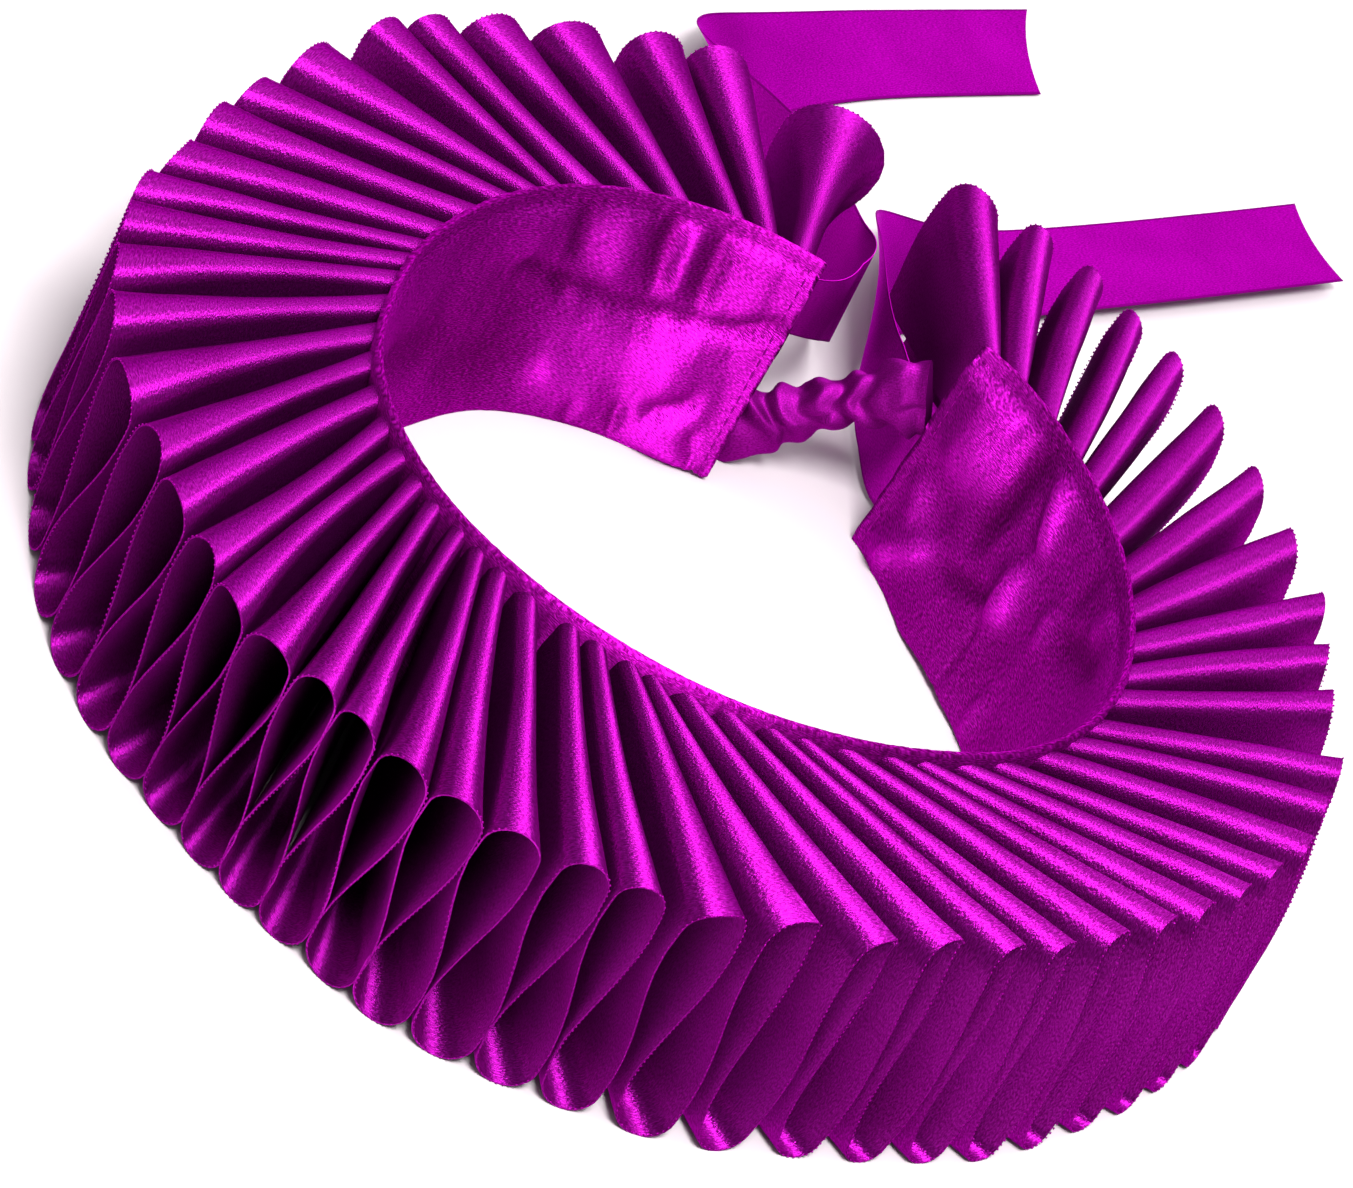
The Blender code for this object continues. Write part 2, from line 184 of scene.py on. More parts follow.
CREASES = tuple(Crease(*row) for row in (
    # left panel: the long fold in five lengths
    (104, 30.5, -32, 11, 1.6, 0.9), (112, 27, -14, 11, 1.6, 0.9), (122, 25.7, -3, 14, 1.6, 0.9),
    (134, 26.8, 12, 14, 1.6, 0.8), (144, 29.8, 22, 11, 1.8, 0.7),
    # the puckers that hang from the topstitching, and the swells between them
    (116, 36, 88, 15, 2.2, 0.9), (125, 37, 86, 14, 2.0, 0.9), (139.5, 38, 84, 13, 2.2, 0.8),
    (120.8, 37, 88, 14, 2.0, -0.7), (132, 36, 88, 14, 3.6, -0.8), (149, 38, 92, 12, 6.5, -0.7),
    (108, 38, 85, 14, 4.0, -0.5),
    # the dents, the pocket, the broad swell that turns to the light and the puckers of the lower edge
    (139.5, 26.5, 60, 5, 1.8, 0.7), (153, 11, 5, 16, 5.5, 1.0), (146, 16, 70, 24, 6.0, 0.5),
    (112.5, 11, -32, 11, 2.4, 1.3), (112, 9, 72, 36, 8.5, -1.5), (124, 17, 10, 26, 6.0, -0.9),
    (132, 8, 12, 16, 4.5, -1.2), (105, 5, 60, 7, 1.6, 0.6), (121, 4.5, 80, 7, 1.5, 0.6),
    (130, 3.5, 85, 6, 1.5, 0.5), (170, 20, 12, 24, 5.8, 0.8), (178, 33, 20, 22, 5.8, -0.3),
    # front, mostly behind the ruffle's crests
    (196, 24, 60, 24, 5.8, 0.6), (214, 28, 80, 20, 5.1, 0.5), (232, 20, 70, 26, 5.8, 0.6),
    (250, 30, 100, 20, 4.3, 0.5), (262, 16, 30, 24, 5.8, 0.5), (278, 30, 85, 22, 4.3, 0.6),
    (294, 18, 70, 24, 5.8, 0.6), (308, 32, 100, 18, 4.3, 0.5), (322, 16, 40, 24, 5.8, 0.5),
    (338, 30, 85, 22, 5.8, 0.6), (352, 18, 60, 24, 5.8, 0.6),
    # right panel: the deep fold, the dents and the swells, brightened by the light and by painted highlight
    (411, 33, 88, 22, 3.2, 1.1), (401.5, 38.5, 55, 14, 2.2, -1.7), (397, 23, 70, 12, 3.0, -1.8),
    (406.5, 16, -23, 15, 1.8, 1.0), (422, 9, -43, 15, 3.2, -2.0), (375.5, 32.5, -24, 18, 3.2, 1.0),
    (423, 37, 85, 22, 7.5, -2.6), (386, 27, 60, 7, 2.2, -0.7), (376, 40, -60, 8, 2.0, -0.6),
    (384, 6, 70, 9, 2.0, -0.7), (396, 9, 75, 14, 0.9, 0.5), (425, 17, 60, 9, 3.0, -0.8),
    (391, 14, 80, 16, 5.0, 0.5), (386, 38, 80, 10, 2.6, 0.5),
))


# ---------------------------------------------------------------------------------------------------
# Small shared helpers
# ---------------------------------------------------------------------------------------------------


def spline(four: Sequence[float], t: float) -> float:
    """Catmull-Rom blend of four values, from the second to the third as t goes from 0 to 1."""
    a, b, c, d = four
    return b + 0.5 * t * (c - a + t * (2 * a - 5 * b + 4 * c - d + t * (3 * (b - c) + d - a)))


def smooth(rows: Sequence[NamedTuple], columns: Sequence[str], key: str, at: float) -> list[float]:
    """Reads named columns of a table at a place between its rows.

    Args:
        rows: The table, sorted by its key column.
        columns: The columns to read.
        key: The name of the key column.
        at: The key's value; past the ends it is held.

    Returns:
        One value for each column.
    """
    keys = [getattr(row, key) for row in rows]
    at = min(max(at, keys[0]), keys[-1])
    i = max(j for j in range(len(keys) - 1) if keys[j] <= at or j == 0)
    t = (at - keys[i]) / (keys[i + 1] - keys[i])
    near = [rows[min(max(j, 0), len(rows) - 1)] for j in range(i - 1, i + 3)]
    return [spline([getattr(row, column) for row in near], t) for column in columns]


def centre_line(rows: Sequence[NamedTuple], step: float) -> list[list[float]]:
    """Rows about `step` metres apart on the smooth line through a table of places.

    Args:
        rows: A table whose first three columns are x, y and z in millimetres.
        step: The distance between points, in metres.

    Returns:
        A list of rows with the table's columns.
    """
    lines: list[list[float]] = []
    for i in range(len(rows) - 1):
        near = [rows[min(max(j, 0), len(rows) - 1)] for j in range(i - 1, i + 3)]
        count = max(1, round(MM * math.dist(rows[i][:3], rows[i + 1][:3]) / step))
        for k in range(count):
            lines.append([spline([row[column] for row in near], k / count) for column in range(len(rows[0]))])
    lines.append(list(rows[-1]))
    return lines


def directions(points: Sequence[Vector]) -> list[Vector]:
    """The unit direction of travel at each point of a line."""
    last = len(points) - 1
    return [(points[min(i + 1, last)] - points[max(i - 1, 0)]).normalized() for i in range(last + 1)]


def on_ring(radius: float, deg: float, height: float) -> Vector:
    """The point at a radius, an azimuth in degrees and a height."""
    return Vector((radius * math.cos(math.radians(deg)), radius * math.sin(math.radians(deg)), height))


def soft_noise(x: float, y: float, seed: float) -> float:
    """Smooth noise from about -1 to 1 at a point of a plane."""
    return noise.noise(Vector((x, y, seed)))


class Mound(NamedTuple):
    """A smooth rise along the neckband: its middle, its half width and its height in millimetres."""

    deg: float
    spread: float
    size_mm: float = 1.0

    def at(self, deg: float) -> float:
        """Its height at an azimuth in degrees."""
        return math.exp(-(((deg - self.deg) / self.spread) ** 2)) * self.size_mm


class Wrinkle(NamedTuple):
    """Smooth random wrinkles along the casing: their size, their counts to a metre and to a turn, and a seed."""

    size: float
    per_metre: float
    per_turn: float
    seed: float

    def at(self, place: float, turn: float) -> float:
        """Their value at a place along the casing in metres and a turn round it."""
        return self.size * soft_noise(place * self.per_metre, turn * self.per_turn, self.seed)


class Unevenness(NamedTuple):
    """Smooth random unevenness of the neckband.

    It has a size, a length round the band in degrees, a count to each metre of height, and a seed.
    """

    size: float
    deg: float
    per_metre: float
    seed: float

    def at(self, deg: float, height: float = 0.0) -> float:
        """Its value at an azimuth in degrees and a height."""
        return self.size * soft_noise(deg / self.deg, height * self.per_metre, self.seed)


def lengths_along(points: Sequence[Vector]) -> list[float]:
    """The distance travelled at each point of a line.

    Args:
        points: The line.

    Returns:
        As many distances in metres, from 0.
    """
    total = [0.0]
    for a, b in zip(points, points[1:]):
        total.append(total[-1] + (b - a).length)
    return total


# ---------------------------------------------------------------------------------------------------
# Finishes
# ---------------------------------------------------------------------------------------------------


class Graph:
    """A node tree under construction, shader or geometry."""

    def __init__(self, tree: bpy.types.NodeTree) -> None:
        """Starts from an empty tree."""
        self.tree = tree
        tree.nodes.clear()

    def add(
        self, kind: str, inputs: dict[str | int, object] | None = None, **settings: object
    ) -> bpy.types.Node:
        """Adds a node.

        Args:
            kind: Blender's name for the node type.
            inputs: Socket name or index to a value, or to another node's output socket.
            **settings: The node's own properties.

        Returns:
            The new node.
        """
        node = self.tree.nodes.new(kind)
        for name, value in settings.items():
            setattr(node, name, value)
        for key, value in (inputs or {}).items():
            if isinstance(value, bpy.types.NodeSocket):
                self.tree.links.new(value, node.inputs[key])
            else:
                node.inputs[key].default_value = value
        return node

    def math(self, operation: str, *values: object) -> bpy.types.NodeSocket:
        """The output of a Math node on numbers or sockets."""
        return self.add("ShaderNodeMath", dict(enumerate(values)), operation=operation).outputs[0]

    def mix_color(self, share: object, first: object, second: object) -> bpy.types.NodeSocket:
        """The output of a colour mix."""
        return self.add("ShaderNodeMix", {"Factor": share, 6: first, 7: second}, data_type="RGBA").outputs[2]

    def surface(self, inputs: dict[str, object]) -> None:
        """Ends a material with a Principled shader that has the given inputs."""
        shader = self.add("ShaderNodeBsdfPrincipled", inputs)
        self.add("ShaderNodeOutputMaterial", {"Surface": shader.outputs[0]})


def new_material(name: str) -> tuple[bpy.types.Material, Graph]:
    """Makes an empty node material and the graph to fill it with.

    Args:
        name: The material's name.

    Returns:
        The material and its graph.
    """
    made = bpy.data.materials.new(name)
    made.use_nodes = True
    return made, Graph(made.node_tree)


class Grain(Enum):
    """How far, in degrees, the bright floats of the satin turn from a piece's length."""

    RIBBON = 0.0
    BIAS = -9.0


DYED_GLOSS = {"Specular IOR Level": 0.0, "Specular Tint": (1.0, 0.0, 1.0, 1.0)}


@dataclass(frozen=True)
class Satin:
    """Dyed satin: deep in the hollows, with a coloured streak where it turns to the light.

    Its colour runs from shade to gleam with the woven flecks and slow clouds. With a swell it also takes the
    painted light stored on the mesh: painted highlight on swells and painted shade in creases. On a ribbon as
    wide as `selvedge` it darkens along both edges.
    """

    name: str
    slot: str
    shade: Color
    gleam: Color
    roughness: float = 0.46
    metallic: float = 0.92
    float_length: float = 0.6 * MM
    float_width: float = 0.25 * MM
    relief: float = 0.09 * MM
    anisotropy: float = 0.94
    rotation: float = 0.25
    grain: Grain = Grain.RIBBON
    # share of the stored painted highlight and painted shade that goes into the colour
    swell: float = 0.0
    selvedge: float = 0.0
    selvedge_width: float = 0.6 * MM
    selvedge_dark: float = 1.3
    fleck_span: tuple[float, float] = (0.36, 0.68)
    fleck_share: float = 0.70
    fleck_hollow: float = 0.6
    fleck_polish: float = 0.10
    cloud_scale: float = 70.0
    cloud_share: float = 0.5
    cloud_offset: float = -0.12
    relief_strength: float = 0.6

    def material(self) -> bpy.types.Material:
        """The satin as a node material, made once for each name.

        Returns:
            The material.
        """
        if self.name in bpy.data.materials:
            return bpy.data.materials[self.name]
        made, graph = new_material(self.name)
        uv = graph.add("ShaderNodeUVMap", uv_map=UV_NAME).outputs["UV"]
        turn = math.radians(self.grain.value)
        scale = (UV_METRES / self.float_length, UV_METRES / self.float_width, 1.0)
        turned = graph.add("ShaderNodeMapping", {"Vector": uv, "Rotation": (0.0, 0.0, turn)})
        placed = graph.add("ShaderNodeMapping", {"Vector": turned.outputs[0], "Scale": scale})
        flecks = graph.add("ShaderNodeTexNoise", {"Vector": placed.outputs[0], "Scale": 1.0, "Detail": 2.0})
        fleck = graph.add("ShaderNodeMapRange", {
            "Value": flecks.outputs["Fac"], "From Min": self.fleck_span[0], "From Max": self.fleck_span[1],
        }).outputs[0]
        color = self.woven_color(graph, uv, fleck)
        rough = graph.math("MULTIPLY_ADD", fleck, -self.fleck_polish, self.roughness + self.fleck_polish / 2)
        bump = graph.add("ShaderNodeBump", {
            "Height": fleck, "Distance": self.relief, "Strength": self.relief_strength,
        }).outputs[0]
        tangent = graph.add("ShaderNodeTangent", direction_type="UV_MAP", uv_map=UV_NAME).outputs[0]
        graph.surface({
            "Base Color": color, "Roughness": rough, "Normal": bump, "Tangent": tangent,
            "Metallic": self.metallic, **DYED_GLOSS,
            "Anisotropic": self.anisotropy, "Anisotropic Rotation": self.rotation,
        })
        return made

    def woven_color(
        self, graph: Graph, uv: bpy.types.NodeSocket, fleck: bpy.types.NodeSocket
    ) -> bpy.types.NodeSocket:
        """Mixes the shade and the gleam, and with a swell adds the stored painted highlight and painted shade.

        Args:
            graph: The material under construction.
            uv: The place on the flat cloth.
            fleck: The woven flecks, from 0 to 1.

        Returns:
            The colour's socket.
        """
        place = graph.add("ShaderNodeTexCoord").outputs["Object"]
        clouds = graph.add("ShaderNodeTexNoise", {"Vector": place, "Scale": self.cloud_scale, "Detail": 2.0})
        cloud = graph.math("MULTIPLY_ADD", clouds.outputs["Fac"], self.cloud_share, self.cloud_offset)
        share = graph.math("MULTIPLY_ADD", fleck, self.fleck_share, cloud)
        if self.swell:
            # painted light stored on the mesh: painted highlight on swells, painted shade in creases and over
            # the outer face
            gleam = graph.add("ShaderNodeAttribute", attribute_name=PAINTED_LIGHT_NAME).outputs["Fac"]
            share = graph.math("MULTIPLY_ADD", gleam, self.swell, share)
        if self.selvedge:
            across = graph.add("ShaderNodeSeparateXYZ", {"Vector": uv}).outputs["Y"]
            half = self.selvedge / 2 / UV_METRES
            away = graph.math("ABSOLUTE", graph.math("SUBTRACT", across, half))
            edge = graph.math("GREATER_THAN", away, half - self.selvedge_width / UV_METRES)
            share = graph.math("MULTIPLY_ADD", edge, -self.selvedge_dark, share)
        color = graph.mix_color(share, self.shade, self.gleam)
        if self.swell:
            hollow = graph.math("MULTIPLY_ADD", fleck, -self.fleck_hollow, self.fleck_hollow)
            color = graph.mix_color(hollow, color, self.shade)
        return color


@dataclass(frozen=True)
class Thread:
    """Sewing thread: plain dyed polyester, a little brighter than the cloth."""

    name: str
    color: Color
    roughness: float = 0.42
    metallic: float = 0.6
    hollow: float = 0.45
    twists_per_metre: float = 2600.0

    def material(self) -> bpy.types.Material:
        """The thread as a node material, made once for each name.

        Returns:
            The material.
        """
        if self.name in bpy.data.materials:
            return bpy.data.materials[self.name]
        made, graph = new_material(self.name)
        place = graph.add("ShaderNodeTexCoord").outputs["Object"]
        twist = graph.add("ShaderNodeTexNoise", {
            "Vector": place, "Scale": self.twists_per_metre, "Detail": 1.0,
        }).outputs["Fac"]
        dark = tuple(self.hollow * channel for channel in self.color[:3]) + (1.0,)
        graph.surface({
            "Base Color": graph.mix_color(twist, dark, self.color), "Roughness": self.roughness,
            "Metallic": self.metallic, **DYED_GLOSS,
        })
        return made


@dataclass(frozen=True)
class Table:
    """The pale matt surface that the collar lies on."""

    name: str = "table_white"
    color: Color = (0.53, 0.48, 0.505, 1.0)
    roughness: float = 0.75

    def material(self) -> bpy.types.Material:
        """The surface as a plain node material.

        Returns:
            The material.
        """
        made, graph = new_material(self.name)
        graph.surface({"Base Color": self.color, "Roughness": self.roughness})
        return made


DEEP: Color = (0.14, 0.0008, 0.108, 1.0)
TIE_WIDTH = 25 * MM

RUFFLE_SATIN = Satin("ruffle_satin_cloth", "ruffle_satin", DEEP, (0.40, 0.010, 0.38, 1.0))
# the band's colour takes painted highlight on its swells and painted shade in its creases
BAND_SATIN = Satin(
    "band_satin_cloth", "band_satin", DEEP, (0.72, 0.010, 0.66, 1.0), roughness=0.49, float_length=0.9 * MM,
    float_width=0.22 * MM, relief=0.07 * MM, anisotropy=0.92, grain=Grain.BIAS, swell=0.40,
)
CASING_SATIN = Satin(
    "casing_satin_cloth", "casing_satin", DEEP, (0.33, 0.006, 0.31, 1.0), roughness=0.6,
    relief=0.04 * MM, anisotropy=0.6,
)
TIE_SATIN = Satin(
    "tie_satin_cloth", "tie_satin", (0.30, 0.002, 0.27, 1.0), (0.70, 0.004, 0.65, 1.0), roughness=0.56,
    relief=0.02 * MM, selvedge=TIE_WIDTH,
)
SEWING_THREAD = Thread("magenta_thread", (0.38, 0.004, 0.33, 1.0))


# ---------------------------------------------------------------------------------------------------
# Geometry node trees
# ---------------------------------------------------------------------------------------------------


class Inlet(NamedTuple):
    """One named input of a geometry node tree."""

    name: str
    kind: str
    value: object


def geometry_graph(name: str, inlets: Iterable[Inlet]) -> tuple[Graph, bpy.types.Node]:
    """Starts a geometry node tree.

    Args:
        name: The tree's name.
        inlets: Its inputs after the geometry.

    Returns:
        The graph and its Group Input node.
    """
    tree = bpy.data.node_groups.new(name, "GeometryNodeTree")
    tree.interface.new_socket("Geometry", in_out="OUTPUT", socket_type="NodeSocketGeometry")
    tree.interface.new_socket("Guide", in_out="INPUT", socket_type="NodeSocketGeometry")
    for inlet in inlets:
        socket = tree.interface.new_socket(inlet.name, in_out="INPUT", socket_type=inlet.kind)
        if inlet.value is not None:
            socket.default_value = inlet.value
    graph = Graph(tree)
    return graph, graph.add("NodeGroupInput")


def finish_geometry(graph: Graph, geometry: bpy.types.NodeSocket, cloth: bpy.types.NodeSocket) -> None:
    """Ends a tree with Realize Instances and Set Material.

    Args:
        graph: The tree under construction.
        geometry: The last geometry socket.
        cloth: The material input's socket.
    """
    real = graph.add("GeometryNodeRealizeInstances", {"Geometry": geometry}).outputs[0]
    dressed = graph.add("GeometryNodeSetMaterial", {"Geometry": real, "Material": cloth}).outputs[0]
    graph.add("NodeGroupOutput", {"Geometry": dressed})


def ribbon_tree() -> bpy.types.NodeTree:
    """A tree that lofts a ribbon between two guide lines, bent towards a third.

    The guide holds the first edge's points, as many handles, and then the second edge's points. Its
    attribute `along` gives each point's place on the flat ribbon.

    Returns:
        The node tree.
    """
    graph, given = geometry_graph("ribbon_between_lines", (
        Inlet("Columns", "NodeSocketInt", 2),
        Inlet("Rows", "NodeSocketInt", 2),
        Inlet("Width", "NodeSocketFloat", 0.05),
        Inlet("Thickness", "NodeSocketFloat", 0.0003),
        Inlet("Ripple", "NodeSocketFloat", 0.0),
        Inlet("Ripple Scale", "NodeSocketFloat", 100.0),
        Inlet("Seed", "NodeSocketFloat", 1.0),
        Inlet("Cloth", "NodeSocketMaterial", None),
    ))
    inlet = given.outputs
    grid = graph.add("GeometryNodeMeshGrid", {
        "Size X": 1.0, "Size Y": 1.0, "Vertices X": inlet["Columns"], "Vertices Y": inlet["Rows"],
    })
    parts = graph.add("ShaderNodeSeparateXYZ", {0: grid.outputs["UV Map"]}).outputs
    last = graph.math("SUBTRACT", inlet["Columns"], 1.0)
    column = graph.math("ROUND", graph.math("MULTIPLY", parts["X"], last))
    across = parts["Y"]
    place = graph.add("GeometryNodeInputPosition").outputs[0]

    def sampled(kind: str, value: bpy.types.NodeSocket, line: int) -> bpy.types.NodeSocket:
        """A value of the guide at this column's point on one of its lines.

        Args:
            kind: The value's data type.
            value: The field to read.
            line: 0 for the first edge, 1 for the handles, 2 for the second edge.

        Returns:
            The value's socket.
        """
        index = graph.math("MULTIPLY_ADD", inlet["Columns"], float(line), column)
        node = graph.add("GeometryNodeSampleIndex", {
            "Geometry": inlet["Guide"], "Value": value, "Index": index,
        }, data_type=kind, domain="POINT")
        return node.outputs["Value"]

    def between(first: bpy.types.NodeSocket, second: bpy.types.NodeSocket) -> bpy.types.NodeSocket:
        """The place that lies this row's share of the way from one point to another."""
        node = graph.add("ShaderNodeMix", {"Factor": across, 4: first, 5: second}, data_type="VECTOR")
        return node.outputs[1]

    near, handle, far = (sampled("FLOAT_VECTOR", place, line) for line in range(3))
    along_read = graph.add("GeometryNodeInputNamedAttribute", {"Name": "along"}, data_type="FLOAT")
    along = sampled("FLOAT", along_read.outputs["Attribute"], 0)
    lofted = between(between(near, handle), between(handle, far))
    waves = graph.add("ShaderNodeTexNoise", {
        "Vector": lofted, "W": inlet["Seed"], "Scale": inlet["Ripple Scale"], "Detail": 1.0,
    }, noise_dimensions="4D")
    half = (0.5, 0.5, 0.5)
    centred = graph.add("ShaderNodeVectorMath", {0: waves.outputs["Color"], 1: half}, operation="SUBTRACT")
    strength = graph.math("MULTIPLY", inlet["Ripple"], across)
    ripple = graph.add("ShaderNodeVectorMath", {0: centred.outputs[0], "Scale": strength}, operation="SCALE")
    shifted = graph.add("ShaderNodeVectorMath", {0: lofted, 1: ripple.outputs[0]}, operation="ADD")
    sheet = graph.add("GeometryNodeSetPosition", {
        "Geometry": grid.outputs["Mesh"], "Position": shifted.outputs[0],
    }).outputs[0]
    flat = graph.add("ShaderNodeCombineXYZ", {
        "X": graph.math("DIVIDE", along, UV_METRES),
        "Y": graph.math("DIVIDE", graph.math("MULTIPLY", across, inlet["Width"]), UV_METRES),
    }).outputs[0]
    mapped = graph.add("GeometryNodeStoreNamedAttribute", {
        "Geometry": sheet, "Name": UV_NAME, "Value": flat,
    }, data_type="FLOAT2", domain="CORNER").outputs[0]
    raised = graph.add("GeometryNodeExtrudeMesh", {
        "Mesh": mapped, "Offset Scale": inlet["Thickness"], "Individual": False,
    }, mode="FACES").outputs["Mesh"]
    under = graph.add("GeometryNodeFlipFaces", {"Mesh": mapped}).outputs[0]
    joined = graph.add("GeometryNodeJoinGeometry")
    graph.tree.links.new(under, joined.inputs[0])
    graph.tree.links.new(raised, joined.inputs[0])
    closed = graph.add("GeometryNodeMergeByDistance", {
        "Geometry": joined.outputs[0], "Distance": MERGE_DISTANCE,
    }).outputs[0]
    bend = graph.add("GeometryNodeInputMeshEdgeAngle").outputs["Unsigned Angle"]
    soft = graph.add("FunctionNodeCompare", {
        0: bend, 1: math.radians(SHARP_DEG),
    }, operation="LESS_THAN", data_type="FLOAT")
    even = graph.add("GeometryNodeSetShadeSmooth", {"Geometry": closed}, domain="FACE").outputs[0]
    rounded = graph.add("GeometryNodeSetShadeSmooth", {
        "Geometry": even, "Shade Smooth": soft.outputs[0],
    }, domain="EDGE").outputs[0]
    finish_geometry(graph, rounded, inlet["Cloth"])
    return graph.tree


def stitch_tree() -> bpy.types.NodeTree:
    """A tree that lays thread stitches end to end along a guide line.

    Returns:
        The node tree.
    """
    graph, given = geometry_graph("stitches_along_line", (
        Inlet("Pitch", "NodeSocketFloat", 0.0025),
        Inlet("Stitch Length", "NodeSocketFloat", 0.0018),
        Inlet("Thread", "NodeSocketFloat", 0.0002),
        Inlet("Unevenness", "NodeSocketFloat", 0.1),
        Inlet("Seed", "NodeSocketInt", 1),
        Inlet("Cloth", "NodeSocketMaterial", None),
    ))
    inlet = given.outputs
    line = graph.add("GeometryNodeMeshToCurve", {"Mesh": inlet["Guide"]}).outputs[0]
    marks = graph.add("GeometryNodeCurveToPoints", {"Curve": line, "Length": inlet["Pitch"]}, mode="LENGTH")
    body = graph.add("GeometryNodeMeshUVSphere", STITCH_BALL).outputs["Mesh"]
    size = graph.add("ShaderNodeCombineXYZ", {
        "X": inlet["Thread"], "Y": inlet["Thread"], "Z": inlet["Stitch Length"],
    }).outputs[0]
    shaped = graph.add("GeometryNodeTransform", {"Geometry": body, "Scale": size}).outputs[0]
    low = graph.math("SUBTRACT", 1.0, inlet["Unevenness"])
    high = graph.math("ADD", 1.0, inlet["Unevenness"])
    vary = graph.add("FunctionNodeRandomValue", {
        2: low, 3: high, "Seed": inlet["Seed"],
    }, data_type="FLOAT").outputs[1]
    turn = graph.add("FunctionNodeAlignRotationToVector", {
        "Vector": marks.outputs["Tangent"],
    }, axis="Z").outputs[0]
    laid = graph.add("GeometryNodeInstanceOnPoints", {
        "Points": marks.outputs["Points"], "Instance": shaped, "Rotation": turn, "Scale": vary,
    }).outputs[0]
    rounded = graph.add("GeometryNodeSetShadeSmooth", {"Geometry": laid}).outputs[0]
    finish_geometry(graph, rounded, inlet["Cloth"])
    return graph.tree


def grown(
    name: str, guide: bpy.types.Mesh, tree: bpy.types.NodeTree, values: dict[str, object]
) -> bpy.types.Object:
    """Runs a geometry node tree on a guide mesh and keeps the result as a plain piece.

    Args:
        name: The piece's name.
        guide: The mesh that the tree follows.
        tree: The node tree.
        values: The tree's inputs by name.

    Returns:
        The finished object, at the origin, with no modifier.
    """
    holder = bpy.data.objects.new(name + "_guide", guide)
    bpy.context.scene.collection.objects.link(holder)
    modifier = holder.modifiers.new("shape", "NODES")
    modifier.node_group = tree
    sockets = {item.name: item.identifier for item in tree.interface.items_tree if item.in_out == "INPUT"}
    for key, value in values.items():
        modifier[sockets[key]] = value
    graph = bpy.context.evaluated_depsgraph_get()
    shaped = holder.evaluated_get(graph)
    mesh = bpy.data.meshes.new_from_object(shaped, preserve_all_data_layers=True, depsgraph=graph)
    bpy.data.objects.remove(holder)
    mesh.name = name
    piece = bpy.data.objects.new(name, mesh)
    bpy.context.scene.collection.objects.link(piece)
    return piece


def guide_line(name: str, points: Sequence[Vector]) -> bpy.types.Mesh:
    """A mesh of edges through the points in order.

    Args:
        name: The mesh's name.
        points: The points.

    Returns:
        The guide mesh.
    """
    mesh = bpy.data.meshes.new(name)
    mesh.from_pydata([tuple(p) for p in points], [(i, i + 1) for i in range(len(points) - 1)], [])
    return mesh


class Stitch(NamedTuple):
    """One kind of stitch: its pitch, its length, its thread's thickness and how uneven it is."""

    pitch: float
    length: float
    thread: float
    unevenness: float


def sewn(name: str, points: Sequence[Vector], stitch: Stitch, seed: int) -> bpy.types.Object:
    """Lays a row of stitches through points.

    Args:
        name: The piece's name.
        points: The line that the stitches follow.
        stitch: Their kind.
        seed: The seed of their unevenness.

    Returns:
        The stitches as one object.
    """
    return grown(name, guide_line(name + "_line", points), stitch_tree(), {
        "Pitch": stitch.pitch, "Stitch Length": stitch.length, "Thread": stitch.thread,
        "Unevenness": stitch.unevenness, "Seed": seed, "Cloth": SEWING_THREAD.material(),
    })


def ribbon_guide(
    name: str, near: Sequence[Vector], middle: Sequence[Vector], far: Sequence[Vector], along: Sequence[float]
) -> bpy.types.Mesh:
    """The guide of a ribbon that passes through three lines of points.

    Args:
        name: The mesh's name.
        near: Points of the first edge.
        middle: As many points along the ribbon's middle.
        far: As many points of the second edge.
        along: Each point's place along the flat ribbon, in metres.

    Returns:
        The guide mesh, points only.
    """
    handles = [2 * m - (a + b) / 2 for a, m, b in zip(near, middle, far)]
    mesh = bpy.data.meshes.new(name)
    mesh.from_pydata([tuple(p) for p in (*near, *handles, *far)], [], [])
    mesh.attributes.new("along", "FLOAT", "POINT").data.foreach_set("value", [*along] * 3)
    return mesh


def piece_from(mesh: bmesh.types.BMesh, name: str, cloth: Satin) -> bpy.types.Object:
    """Turns a finished bmesh into a dressed object, with its faces outwards.

    Args:
        mesh: The closed mesh, which is used up.
        name: The piece's name.
        cloth: Its finish.

    Returns:
        The object, at the origin.
    """
    bmesh.ops.recalc_face_normals(mesh, faces=mesh.faces[:])
    data = bpy.data.meshes.new(name)
    mesh.to_mesh(data)
    mesh.free()
    data.materials.append(cloth.material())
    piece = bpy.data.objects.new(name, data)
    bpy.context.scene.collection.objects.link(piece)
    return piece


def settle(piece: bpy.types.Object, replaced: Sequence[str] = ()) -> None:
    """Makes a finished piece ride on the collar's one body, hides the CAD nodes that it stands for and logs its
    triangles.

    Args:
        piece: The finished object.
        replaced: The CAD nodes that it stands for.
    """
    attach(piece, BODY)
    if replaced:
        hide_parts(*replaced)
    LOG.info("%s: %d triangles", piece.name, sum(len(p.vertices) - 2 for p in piece.data.polygons))


# ---------------------------------------------------------------------------------------------------
# Ruffle
# ---------------------------------------------------------------------------------------------------


class Fold(NamedTuple):
    """A fold seen end on: its centre along the seam and in height, its radius and its crest's shape."""

    along: float
    height: float
    radius: float
    lean: float = 0.0
    slope: float = 0.0


class Habit(NamedTuple):
    """How the pleats sit at one part of the rim.

    lean is how far the crests' round tops give way to points over their right-hand flanks. slope is how
    steadily the cloth climbs to such a point; 0 has a square shoulder. The fills are the shares of its room
    that each kind of fold takes up.
    """

    deg: float
    lean: float
    slope: float
    upper_fill: float
    lower_fill: float


